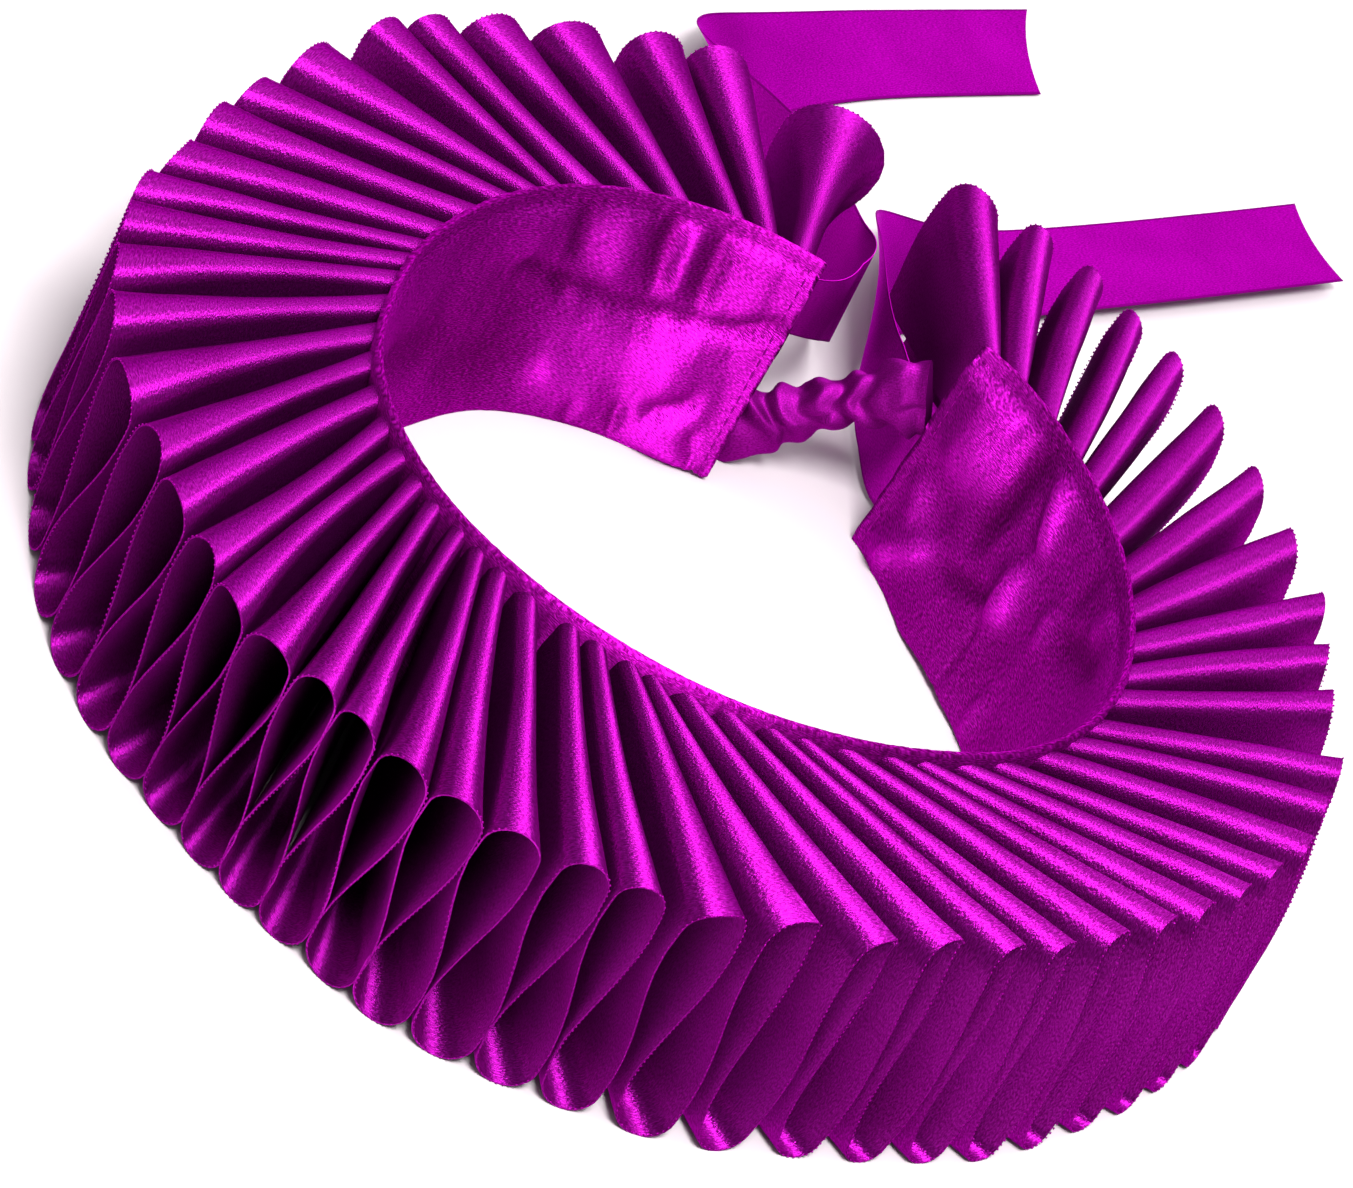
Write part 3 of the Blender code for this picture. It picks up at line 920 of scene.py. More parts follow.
HABITS = tuple(Habit(*row) for row in (
    (95, 0.0, 0.0, 1.0, 1.0), (268, 0.0, 0.0, 1.0, 1.0), (284, 0.25, 0.0, 0.85, 0.85),
    (293, 0.7, 0.0, 0.6, 0.7), (300, 1.0, 0.0, 0.42, 0.6), (335, 1.0, 0.0, 0.42, 0.6),
    (348, 0.85, 0.2, 0.44, 0.6), (360, 0.45, 0.7, 0.5, 0.6), (374, 0.3, 0.8, 0.56, 0.6),
    (405, 0.22, 0.8, 0.55, 0.6), (450, 0.1, 0.6, 0.60, 0.6),
))


def on_fold(fold: Fold, angle: float) -> Point:
    """The point of a fold's circle in a direction in radians, in seam coordinates."""
    return (fold.along + fold.radius * math.cos(angle), fold.height + fold.radius * math.sin(angle))


def belt_angle(first: Fold, second: Fold) -> float:
    """Direction from the first fold's centre to where the ribbon leaves it for the second, in radians.

    Args:
        first: The fold that the ribbon leaves.
        second: The fold that it goes to.

    Returns:
        The angle in seam coordinates.
    """
    across = second.along - first.along
    up = second.height - first.height
    reach = math.acos((first.radius + second.radius) / math.hypot(across, up))
    return math.atan2(up, across) + (reach if up < 0 else -reach)


@dataclass
class BandShape:
    """The neckband's inner face as a leaning ring."""

    height: float = 46.2 * MM

    def radius(self, deg: float, height: float) -> float:
        """Radius of the inner face at an azimuth and a height."""
        top, foot = smooth(BAND, ("top_mm", "foot_mm"), "deg", deg)
        return MM * (foot + (top - foot) * height / self.height)

    def lean(self, deg: float) -> float:
        """How far the band's top stands out past its foot, for each metre of height."""
        top, foot = smooth(BAND, ("top_mm", "foot_mm"), "deg", deg)
        return MM * (top - foot) / self.height


@dataclass
class Ruffle:
    """One long ribbon in upright figure-eight pleats, sewn by one selvedge round the neckband."""

    band: BandShape
    cloth: Satin = RUFFLE_SATIN
    rim_height: float = 45.0 * MM
    tip_height: float = 44.6 * MM
    rim_radius: float = 107 * MM
    tip_radius: float = 65 * MM
    loop_gap: float = 0.3 * MM
    widest_loop: float = 7.6 * MM
    end_loops: tuple[float, float] = (10.0 * MM, 5.5 * MM)
    loose_from_deg: float = 380
    neck_fill: float = 0.85
    sewn: Habit = Habit(0.0, 0.0, 0.0, 1.0, 1.0)
    beak_drop: float = 5.5 * MM
    slope_drop: float = 11.0 * MM
    beak_reach: float = 1.3 * MM
    beak_draw: float = 2.2 * MM
    beak_lift: float = 1.2 * MM
    beak_round: float = 0.3 * MM
    shoulder_drop: float = 0.7 * MM
    shoulder_reach: float = 0.34
    shoulder_sag: float = 0.10
    beak_under: tuple[float, float] = (0.5 * MM, 1.4 * MM)
    beak_share: float = 0.6
    end_fold_deg: float = 9
    end_cut_at_neck: float = 0.3
    end_cuts_at_rim: tuple[float, float] = (0.42, 0.75)
    nearest_tip: float = 60.3 * MM
    sewn_clearance: float = 1.0 * MM
    search: float = 0.5
    search_steps: int = 20
    arc_steps: int = 12
    arc_trim: float = math.radians(7)
    flank_steps: int = 8
    waist: tuple[float, float] = (0.62, 0.84)
    loose_waist: tuple[float, float] = (1.05, 1.25)
    lean_spread: tuple[float, float] = (0.85, 1.2)
    sway: float = 0.9 * MM
    ripple: float = 0.9 * MM
    ripple_scale: float = 60.0
    lengths: int = 13
    rows: int = 14
    ribbon_width: float = 50 * MM
    thickness: float = 0.25 * MM
    picot: Stitch = Stitch(1.0 * MM, 0.42 * MM, 0.30 * MM, 0.15)
    uneven: float = 0.35 * MM
    seed: int = 7

    def folds(self, at_rim: bool) -> list[Fold]:
        """The ribbon's upper and lower folds in order, lower first and last.

        Args:
            at_rim: Whether they are taken at the rim or at the neckband.

        Returns:
            The folds, with upper ones at odd places.
        """
        nominal = self.rim_radius if at_rim else self.tip_radius
        top = self.rim_height if at_rim else self.tip_height
        degs = [p.rim_deg if at_rim else p.neck_deg for p in PLEATS]
        degs = [degs[0] - self.end_fold_deg, *degs, degs[-1] + self.end_fold_deg]
        along = [nominal * math.radians(deg) for deg in degs]
        lower = [(a + b) / 2 for a, b in zip(along, along[1:])]
        gaps = [b - a for a, b in zip(lower, lower[1:])]
        gaps = [gaps[0], *gaps, gaps[-1]]
        chance = random.Random(self.seed)
        made: list[Fold] = []
        for i, place in enumerate(lower):
            habit = self.habit(place / nominal, at_rim)
            radius = self.width(at_rim, habit.lower_fill, gaps[i], gaps[i + 1])
            made.append(Fold(place, radius + self.thickness, radius))
            if i < len(PLEATS):
                habit = self.habit(along[i + 1] / nominal, at_rim)
                before, after = along[i + 1] - along[i], along[i + 2] - along[i + 1]
                radius = self.width(at_rim, habit.upper_fill, before, after)
                if at_rim and i in (0, len(PLEATS) - 1):
                    radius = self.end_loops[i > 0]
                dip = chance.uniform(0.0, self.uneven) * (2 if at_rim else 1)
                lean = min(1.0, habit.lean * chance.uniform(*self.lean_spread))
                made.append(Fold(along[i + 1], top - radius - dip, radius, lean, habit.slope))
        return made

    def habit(self, angle: float, at_rim: bool) -> Habit:
        """How the pleats sit at an angle in radians; at the neckband all are alike."""
        columns = ("lean", "slope", "upper_fill", "lower_fill")
        return Habit(0.0, *smooth(HABITS, columns, "deg", math.degrees(angle))) if at_rim else self.sewn

    def width(self, at_rim: bool, fill: float, before: float, after: float) -> float:
        """Radius of one fold.

        Args:
            at_rim: Whether it is taken at the rim or at the neckband.
            fill: The share of its room that it takes up at the rim.
            before: Distance along the seam to the fold before, in metres.
            after: Distance to the fold after.

        Returns:
            The radius in metres.
        """
        if not at_rim:
            return min(before, after) * self.neck_fill / 2
        return min(self.widest_loop, fill * (min(before, after) - self.loop_gap) / 2)

    def arc(self, folds: Sequence[Fold], i: int) -> list[Point]:
        """The ribbon's points over one fold, in seam coordinates.

        Args:
            folds: All the folds in order.
            i: The place of the one to follow; upper folds are at odd places.

        Returns:
            The points in order.
        """
        fold = folds[i]
        upper = i % 2 == 1
        start = belt_angle(folds[i - 1], fold) + math.pi
        end = belt_angle(fold, folds[i + 1])
        if upper:
            start, end = start % math.tau, end % math.tau
            end -= math.tau if end > start else 0.0
        else:
            start, end = start % math.tau - math.tau, end % math.tau - math.tau
            end += math.tau if end < start else 0.0
        trim = math.copysign(self.arc_trim, end - start)
        start, end = start + trim, end - trim
        angles = [start + (end - start) * k / self.arc_steps for k in range(self.arc_steps + 1)]
        round_arc = [on_fold(fold, angle) for angle in angles]
        pairs = zip(round_arc, self.beak(fold))
        return [(x + (bx - x) * fold.lean, y + (by - y) * fold.lean) for (x, y), (bx, by) in pairs]

    def beak(self, fold: Fold) -> list[Point]:
        """A crest that slopes up to a point over its right-hand flank.

        Args:
            fold: The upper fold.

        Returns:
            As many points as a round fold has.
        """
        left, right, top = fold.along - fold.radius, fold.along + fold.radius, fold.height + fold.radius
        point = right + self.beak_reach
        drop = self.beak_drop + (self.slope_drop - self.beak_drop) * fold.slope
        shoulder = (
            left + self.beak_round + self.shoulder_reach * (right - left) * fold.slope,
            top - self.shoulder_drop - self.shoulder_sag * drop * fold.slope,
        )
        slope = ((left, top - drop), shoulder, (point - self.beak_round, top - self.beak_round / 3))
        start, turn = self.beak_under
        under = ((point, top - start), (right, top - turn), (right, top - self.beak_share * self.beak_drop))
        last = round(self.beak_share * self.arc_steps)
        made = []
        for (a, b, c), first, end in ((slope, 0, last), (under, last + 1, self.arc_steps)):
            for k in range(first, end + 1):
                t = (k - first) / (end - first)
                weights = ((1 - t) ** 2, 2 * t * (1 - t), t * t)
                made.append(tuple(sum(w * v for w, v in zip(weights, three)) for three in zip(a, b, c)))
        return made

    def stretches(self, at_rim: bool) -> list[list[Point]]:
        """The ribbon's folds at one of its edges, between its two cut ends.

        Args:
            at_rim: Whether they are taken at the rim or at the neckband.

        Returns:
            Lists of points in seam coordinates: along the seam, and height.
        """
        folds = self.folds(at_rim)
        arcs = [self.arc(folds, i) for i in range(1, len(folds) - 1)]
        cuts = self.end_cuts_at_rim if at_rim else (self.end_cut_at_neck,) * 2
        first_angle = belt_angle(folds[0], folds[1])
        last_angle = belt_angle(folds[-2], folds[-1]) + math.pi
        ends = []
        for fold, angle, corner, cut in (
            (folds[0], first_angle, arcs[0][0], cuts[0]), (folds[-1], last_angle, arcs[-1][-1], cuts[1]),
        ):
            foot = on_fold(fold, angle)
            ends.append(tuple(c + (f - c) * cut for c, f in zip(corner, foot)))
        return [[ends[0]], *arcs, [ends[1]]]

    def joined(self, stretches: Sequence[Sequence[Vector]]) -> list[Vector]:
        """Joins the folds with smoothly bent flanks.

        Args:
            stretches: The folds' points in order.

        Returns:
            One line of points.
        """
        line = list(stretches[0])
        for before, after in zip(stretches, stretches[1:]):
            start, end = before[-1], after[0]
            chord = end - start
            leaving = (start - before[-2]).normalized() * chord.length if len(before) > 1 else chord
            arriving = (after[1] - end).normalized() * chord.length if len(after) > 1 else chord
            for k in range(1, self.flank_steps):
                t = k / self.flank_steps
                line.append(
                    start * (2 * t ** 3 - 3 * t ** 2 + 1) + end * (3 * t ** 2 - 2 * t ** 3)
                    + leaving * (t ** 3 - 2 * t ** 2 + t) + arriving * (t ** 3 - t ** 2)
                )
            line += after
        return line

    def waisted(self, neck: Sequence[Vector], rim: Sequence[Vector], chance: random.Random) -> list[Vector]:
        """A fold half way out, drawn in towards its crest so that it flares at the rim.

        Args:
            neck: The fold's points at the neckband.
            rim: The same points at the rim.
            chance: The source of its unevenness.

        Returns:
            The points half way. Loose folds are full there instead.
        """
        points = [(a + b) / 2 for a, b in zip(neck, rim)]
        crest = points[len(points) // 2]
        loose = rim[0].x > 0 and math.degrees(math.atan2(rim[0].y, rim[0].x)) > self.loose_from_deg - 360
        tight = chance.uniform(*(self.loose_waist if loose else self.waist))
        deg = math.degrees(math.atan2(rim[0].y, rim[0].x)) % 360
        lean = smooth(HABITS, ("lean",), "deg", deg + (360 if deg < HABITS[0].deg else 0))[0]
        tight += 0.0 if loose else (1.0 - tight) * lean
        drift = Vector((-crest.y, crest.x, 0)).normalized() * chance.uniform(-1, 1) * self.sway
        return [crest + (point - crest) * tight + drift for point in points]

    def rim_point(self, point: Point) -> Vector:
        """The place of a seam point at the rim, where each pleat has its own radii.

        Args:
            point: The seam point.

        Returns:
            Its place.
        """
        deg = math.degrees(point[0] / self.rim_radius)
        top, foot = smooth(PLEATS, ("top_mm", "foot_mm"), "rim_deg", deg)
        lean = smooth(HABITS, ("lean",), "deg", deg)[0]
        high = max(0.0, 1 - (self.rim_height - point[1]) / self.beak_drop)
        radius = MM * (foot + (top - foot) * point[1] / self.rim_height) - self.beak_draw * lean * high
        return on_ring(radius, deg, point[1] + self.beak_lift * lean * high)

    def tip_point(self, point: Point, rim: Vector) -> Vector:
        """Where the straight line of a fold, from the rim inwards, meets the neckband.

        Args:
            point: The seam point at the neckband.
            rim: The place of the same line's other end.

        Returns:
            The sewn point.
        """
        tip = on_ring(self.tip_radius, math.degrees(point[0] / self.tip_radius), point[1])
        near, far = -self.search, self.search
        for _ in range(self.search_steps):
            share = (near + far) / 2
            place = tip + (tip - rim) * share
            deg = math.degrees(math.atan2(place.y, place.x)) % 360
            deg += 360 if deg < BAND[0].deg - self.end_fold_deg else 0
            sewn = max(self.band.radius(deg, tip.z) + self.sewn_clearance, self.nearest_tip)
            if math.hypot(place.x, place.y) > sewn:
                near = share
            else:
                far = share
        return Vector((place.x, place.y, tip.z))

    def build(self) -> list[bpy.types.Object]:
        """Makes the ruffle and the picots of its outer selvedge.

        Returns:
            The pieces.
        """
        rim = [[self.rim_point(p) for p in stretch] for stretch in self.stretches(True)]
        neck = [[self.tip_point(*pair) for pair in zip(*both)] for both in zip(self.stretches(False), rim)]
        chance = random.Random(self.seed + 1)
        middle = [self.waisted(a, b, chance) for a, b in zip(neck, rim)]
        rims, tips = self.joined(rim), self.joined(neck)
        along = [(a + b) / 2 for a, b in zip(lengths_along(rims), lengths_along(tips))]
        guide = ribbon_guide("ruffle_lines", tips, self.joined(middle), rims, along)
        ribbon = grown("ruffle", guide, ribbon_tree(), {
            "Columns": len(rims), "Rows": self.rows, "Width": self.ribbon_width, "Thickness": self.thickness,
            "Ripple": self.ripple, "Ripple Scale": self.ripple_scale, "Seed": float(self.seed),
            "Cloth": self.cloth.material(),
        })
        picots = sewn("ruffle_picots", rims, self.picot, self.seed)
        settle(ribbon, [f"ruffle_{n:02d}" for n in range(1, self.lengths + 1)])
        settle(picots)
        LOG.info("ruffle ribbon is %.2f m long", along[-1])
        return [ribbon, picots]


# ---------------------------------------------------------------------------------------------------
# Neckband
# ---------------------------------------------------------------------------------------------------


@dataclass
class Neckband:
    """The doubled satin band round the neck, with its rolled top edge, hems, creases and topstitching."""

    band: BandShape
    cloth: Satin = BAND_SATIN
    thickness: float = 1.1 * MM
    column_deg: float = 0.7
    face_rows: int = 44
    outer_rows: int = 18
    fold_rows: int = 6
    fold_rise: float = 0.5 * MM
    roll_bulge: float = 0.45 * MM
    stitch_height: float = 43.7 * MM
    stitch_from: float = 2.5 * MM
    stitch_sink: float = 0.02 * MM
    stitch: Stitch = Stitch(2.5 * MM, 1.9 * MM, 0.42 * MM, 0.12)
    stitch_seed: int = 4
    stitch_points: tuple[int, int] = (400, 60)
    stitch_pull: float = 0.25 * MM
    pull_reach: float = 0.5 * MM
    pull_mean: float = 0.6
    pulls_per_radian: float = 150
    hem_width: float = 2.2 * MM
    end_slim: float = 0.45
    end_reach: float = 1.2 * MM
    end_wander: Wrinkle = Wrinkle(0.4, 190, 1 / 40, 41.0)
    end_wander_reach_deg: float = 5.0
    stitch_ease: float = 2.0 * MM
    foot_hold: float = 0.3
    foot_ease: float = 3 * MM
    foot_reach: float = 5.0 * MM
    foot_wave_mm: float = 0.4
    foot_rise: Mound = Mound(397, 13, 1.4)
    foot_lumpy: Mound = Mound(102, 6)
    lump_mean: float = 0.9
    crease_gain: float = 1.6
    crease_wander: float = 0.12
    crease_ends: float = 1.6
    # the first sets the swell that gets the full painted highlight, the second the painted shade over the band's
    # fold and outer face
    full_swell: float = 1.7 * MM
    outer_painted_shade: float = -0.35
    deepest: float = 1.5 * MM
    puff: float = 0.8 * MM
    pucker_reach: float = 3.5 * MM
    broad: Unevenness = Unevenness(0.35 * MM, 9, 60, 3.0)
    fine: Unevenness = Unevenness(0.16 * MM, 3, 170, 12.0)
    roll: Unevenness = Unevenness(0.6, 1.3, 0, 13.0)
    pucker: Unevenness = Unevenness(0.28 * MM, 1.7, 0, 5.0)
    foot_wave: Unevenness = Unevenness(0.5, 2.2, 0, 11.0)
    foot_lumps: Unevenness = Unevenness(0.9, 1.2, 0, 12.0)
    outer_bump: Unevenness = Unevenness(0.30 * MM, 1.4, 160, 17.0)
    outer_flecks: Unevenness = Unevenness(0.4, 1.2, 0.6, 23.0)

    def creased(self, deg: float, height: float) -> float:
        """How far the listed creases push the inner face out, away from the neck.

        Args:
            deg: The azimuth in degrees.
            height: The height in metres.

        Returns:
            The depth in metres; negative where the cloth swells inwards.
        """
        depth = 0.0
        for crease in CREASES:
            x = (deg - crease.deg) * METRES_PER_DEG
            y = height - crease.height_mm * MM
            turn = math.radians(crease.turn_deg)
            along = x * math.cos(turn) + y * math.sin(turn)
            across = -x * math.sin(turn) + y * math.cos(turn)
            across += self.crease_wander * along * soft_noise(along * 90, crease.deg, 2.0)
            reach = abs(along) / (crease.length_mm * MM / 2)
            if reach < self.crease_ends:
                taper = math.exp(-reach ** 4) * math.exp(-((across / (crease.width_mm * MM)) ** 2))
                depth += self.crease_gain * crease.depth_mm * MM * taper
        return depth

    def sink(self, deg: float, height: float) -> float:
        """How far the inner face is pushed out by its creases and its small unevenness.

        Args:
            deg: The azimuth in degrees.
            height: The height in metres.

        Returns:
            The depth in metres; negative where the cloth swells inwards.
        """
        depth = self.creased(deg, height)
        depth += self.broad.at(deg, height) + self.fine.at(deg, height)
        depth = self.deepest * math.tanh(depth / self.deepest) if depth > 0 else depth
        return depth - self.puff

    def inner(self, deg: float, height: float) -> float:
        """Radius of the inner face with its creases, its rolled top edge and its hem puckers.

        Args:
            deg: The azimuth in degrees.
            height: The height in metres.

        Returns:
            The radius in metres.
        """
        below = max(0.0, (self.stitch_height - height))
        edge = min(1.0, self.foot_hold + height / self.foot_ease, below / self.stitch_ease)
        radius = self.band.radius(deg, height) + self.sink(deg, height) * max(0.0, edge)
        above = height - self.stitch_height
        if above > 0:
            share = min(1.0, above / (self.band.height - self.stitch_height))
            radius -= self.roll_bulge * (1 + self.roll.at(deg)) * math.sin(math.pi * share)
        pull = math.exp(-((above / self.pull_reach) ** 2))
        wave = self.pull_mean + (1 - self.pull_mean) * math.sin(math.radians(deg) * self.pulls_per_radian)
        radius += self.stitch_pull * pull * wave
        if above < 0:
            radius += self.pucker.at(deg) * math.exp(above / self.pucker_reach)
        return radius

    def foot(self, deg: float) -> float:
        """Height of the band's lower edge, which is turned in unevenly.

        Args:
            deg: The azimuth in degrees.

        Returns:
            The height in metres.
        """
        wave = 0.5 + self.foot_wave.at(deg)
        lumpy = self.foot_lumpy.at(deg) * (self.lump_mean + self.foot_lumps.at(deg))
        return MM * (self.foot_wave_mm * wave + self.foot_rise.at(deg) + lumpy)

    def wobble(self, deg: float, height: float) -> float:
        """How far, in degrees, the band's soft ends wander at a height.

        Args:
            deg: The azimuth in degrees.
            height: The height in metres.

        Returns:
            The shift in degrees.
        """
        to_end = min(deg - BAND[0].deg, BAND[-1].deg - deg)
        near_end = math.exp(-to_end / self.end_wander_reach_deg)
        return near_end * self.end_wander.at(height, deg)

    def build(self) -> list[bpy.types.Object]:
        """Makes the band and its stitches.

        Returns:
            The pieces.
        """
        first, last = BAND[0].deg, BAND[-1].deg
        columns = round((last - first) / self.column_deg)
        mesh = bmesh.new()
        uv = mesh.loops.layers.uv.new(UV_NAME)
        # each point stores its painted highlight and painted shade, which the band's colour takes up
        gleam = mesh.verts.layers.float.new(PAINTED_LIGHT_NAME)
        rings = []
        for column in range(columns + 1):
            deg = first + (last - first) * column / columns
            to_end = min(deg - first, last - deg) * METRES_PER_DEG
            slim = min(1.0, self.end_slim + to_end / self.end_reach * (1 - self.end_slim))
            ring = [mesh.verts.new(p) for p in self.section(deg, slim)]
            for vert, value in zip(ring, self.painted_light_at(deg)):
                vert[gleam] = value
            rings.append((deg, ring))
        count = len(rings[0][1])
        place = self.across()
        for (deg_a, ring_a), (deg_b, ring_b) in zip(rings, rings[1:]):
            for i in range(count):
                j = (i + 1) % count
                face = mesh.faces.new((ring_a[i], ring_b[i], ring_b[j], ring_a[j]))
                far = place[j] if j else place[-1]
                for loop, (deg, v) in zip(face.loops, (
                    (deg_a, place[i]), (deg_b, place[i]), (deg_b, far), (deg_a, far),
                )):
                    loop[uv].uv = (deg * METRES_PER_DEG / UV_METRES, v / UV_METRES)
        for ring in (rings[0][1][::-1], rings[-1][1]):
            self.cap(mesh, ring)
        for face in mesh.faces:
            face.smooth = True
        piece = piece_from(mesh, "neckband_cloth", self.cloth)
        stitches = self.stitches()
        settle(piece, ["neckband"])
        for stitch in stitches:
            settle(stitch)
        return [piece, *stitches]

    def heights(self, deg: float) -> list[float]:
        """The heights of the inner face's rows, from the foot to the top.

        Args:
            deg: The azimuth in degrees.

        Returns:
            The heights in metres.
        """
        foot, top = self.foot(deg), self.band.height - self.fold_rise
        rows = [top * k / self.face_rows for k in range(self.face_rows + 1)]
        return [row + foot * max(0.0, 1 - row / self.foot_reach) for row in rows]

    def section(self, deg: float, slim: float) -> list[Vector]:
        """One upright section of the band: up the inner face, over the fold and down the outer face.

        Args:
            deg: Its azimuth.
            slim: The share of the full thickness there.

        Returns:
            The section's points in order.
        """
        thick = self.thickness * slim
        points = []
        for height in self.heights(deg):
            points.append(on_ring(self.inner(deg, height), deg + self.wobble(deg, height), height))
        top = self.band.height - self.fold_rise
        base = self.inner(deg, top)
        for k in range(1, self.fold_rows):
            angle = math.pi * k / self.fold_rows
            out = base + thick / 2 - thick / 2 * math.cos(angle)
            points.append(on_ring(out, deg, top + self.fold_rise * math.sin(angle)))
        foot = self.foot(deg)
        for k in range(self.outer_rows + 1):
            height = top + (foot - top) * k / self.outer_rows
            radius = self.band.radius(deg, height) + thick + self.outer_bump.at(deg, height)
            points.append(on_ring(radius, deg + self.wobble(deg, height), height))
        return points

    def painted_light_at(self, deg: float) -> list[float]:
        """The painted highlight and painted shade that each point of a section puts into the band's colour.

        Args:
            deg: The section's azimuth.

        Returns:
            A value from -1, painted shade deep in a crease, to 1, painted highlight on a full swell; the fold
            and the outer face get painted shade.
        """
        inner = [max(-1.0, min(1.0, -self.creased(deg, h) / self.full_swell)) for h in self.heights(deg)]
        outer = [self.outer_painted_shade + self.outer_flecks.at(deg, k) for k in range(self.outer_rows + 1)]
        return [*inner, *[self.outer_painted_shade] * (self.fold_rows - 1), *outer]

    def across(self) -> list[float]:
        """Each section point's place across the flat cloth in metres, with the closing point's at the end.

        Returns:
            The places in order.
        """
        top = self.band.height
        up = [top * k / self.face_rows for k in range(self.face_rows + 1)]
        over = [top + self.thickness * k / self.fold_rows for k in range(1, self.fold_rows)]
        down = [over[-1] + top * k / self.outer_rows for k in range(self.outer_rows + 1)]
        return [*up, *over, *down, down[-1] + self.thickness]

    @staticmethod
    def cap(mesh: bmesh.types.BMesh, ring: Sequence[bmesh.types.BMVert]) -> None:
        """Closes one end of the band with a ladder of faces.

        Args:
            mesh: The band's mesh.
            ring: The points of its end section in order.
        """
        low, high = 0, len(ring) - 1
        while high - low > 2:
            if (high - low) % 2:
                mesh.faces.new((ring[low], ring[low + 1], ring[high - 1], ring[high]))
                low, high = low + 1, high - 1
            else:
                mesh.faces.new((ring[low], ring[low + 1], ring[high]))
                low += 1
        if high - low == 2:
            mesh.faces.new((ring[low], ring[low + 1], ring[high]))

    def stitches(self) -> list[bpy.types.Object]:
        """The topstitching under the rolled edge and beside the two end hems.

        Returns:
            One piece for each row of stitches.
        """
        first, last = BAND[0].deg, BAND[-1].deg
        hem_deg = math.degrees(self.hem_width / MIDDLE_RADIUS)
        round_count, up_count = self.stitch_points
        start, stop = first + hem_deg, last - hem_deg
        degs = [start + (last - first - 2 * hem_deg) * k / round_count for k in range(round_count + 1)]
        rise = self.stitch_height - self.stitch_from
        heights = [self.stitch_from + rise * k / up_count for k in range(up_count + 1)]
        lines = {
            "neckband_topstitch": [(deg, self.stitch_height) for deg in degs],
            "neckband_hem_stitch_left": [(start, height) for height in heights],
            "neckband_hem_stitch_right": [(stop, height) for height in heights],
        }
        made = []
        for name, places in lines.items():
            points = [on_ring(self.inner(deg, h) - self.stitch_sink, deg, h) for deg, h in places]
            made.append(sewn(name, points, self.stitch, self.stitch_seed))
        return made


# ---------------------------------------------------------------------------------------------------
# Elastic casing
# ---------------------------------------------------------------------------------------------------


@dataclass
class ElasticCasing:
    """The short satin tube, gathered over an elastic, that joins the band's two ends."""

    cloth: Satin = CASING_SATIN
    steps: int = 150
    sides: int = 56
    gather: float = 1.15 * MM
    gather_pitch: float = 6.2 * MM
    fullness: float = 2.2
    girth: float = 30 * MM
    gather_share: float = 0.55
    gather_drift: float = 2.2
    gather_slant: float = 0.5
    settled: float = 0.15
    across: Wrinkle = Wrinkle(1.3, 90, 0.9, 21.0)
    upward: Wrinkle = Wrinkle(1.1, 50, 1.1, 24.0)
    lumps: Wrinkle = Wrinkle(0.8, 190, 0.9, 26.0)
    fine: Wrinkle = Wrinkle(0.25, 420, 1.3, 29.0)

    def swell(self, place: float, angle: float) -> float:
        """How far the gathers stand out at a place along the casing and an angle round it, in metres.

        Args:
            place: The distance from the casing's start, in metres.
            angle: The angle round it, in radians.

        Returns:
            The height in metres.
        """
        drift = self.across.at(place, math.cos(angle))
        drift += self.upward.at(place, math.sin(angle))
        wave = self.gather_drift * drift + self.gather_slant * math.sin(angle)
        gathers = math.sin(math.tau * place / self.gather_pitch + wave)
        rough = self.lumps.at(place, angle) + self.fine.at(place, angle)
        return self.gather * (self.gather_share * gathers + rough - self.settled)

    def build(self) -> list[bpy.types.Object]:
        """Makes the casing.

        Returns:
            The piece, in a list.
        """
        rows = centre_line(CASING, MM * math.dist(CASING[0][:3], CASING[-1][:3]) / self.steps)
        points = [Vector(row[:3]) * MM for row in rows]
        travelled = lengths_along(points)
        mesh = bmesh.new()
        uv = mesh.loops.layers.uv.new(UV_NAME)
        rings = []
        for point, forward, row, place in zip(points, directions(points), rows, travelled):
            deep = forward.cross(Vector((0, 0, 1))).normalized()
            high = deep.cross(forward).normalized()
            ring = []
            for k in range(self.sides):
                angle = math.tau * k / self.sides
                out = high * row[3] * math.sin(angle) + deep * row[4] * math.cos(angle)
                ring.append(mesh.verts.new(point + MM * out + out.normalized() * self.swell(place, angle)))
            rings.append(ring)
        for n, (ring, following) in enumerate(zip(rings, rings[1:])):
            for i in range(self.sides):
                j = (i + 1) % self.sides
                face = mesh.faces.new((ring[i], following[i], following[j], ring[j]))
                for loop, (a, b) in zip(face.loops, ((n, i), (n + 1, i), (n + 1, i + 1), (n, i + 1))):
                    around = self.girth * b / self.sides
                    loop[uv].uv = (self.fullness * travelled[a] / UV_METRES, around / UV_METRES)
        mesh.faces.new(rings[0])
        mesh.faces.new(rings[-1][::-1])
        for face in mesh.faces:
            face.smooth = len(face.verts) == 4
        piece = piece_from(mesh, "elastic_casing_cloth", self.cloth)
        settle(piece, ["elastic_casing"])
        return [piece]


# ---------------------------------------------------------------------------------------------------
# Ties
# ---------------------------------------------------------------------------------------------------


class Side(Enum):
    """Which end of the band a tie is sewn to."""

    LEFT = "left"
    RIGHT = "right"


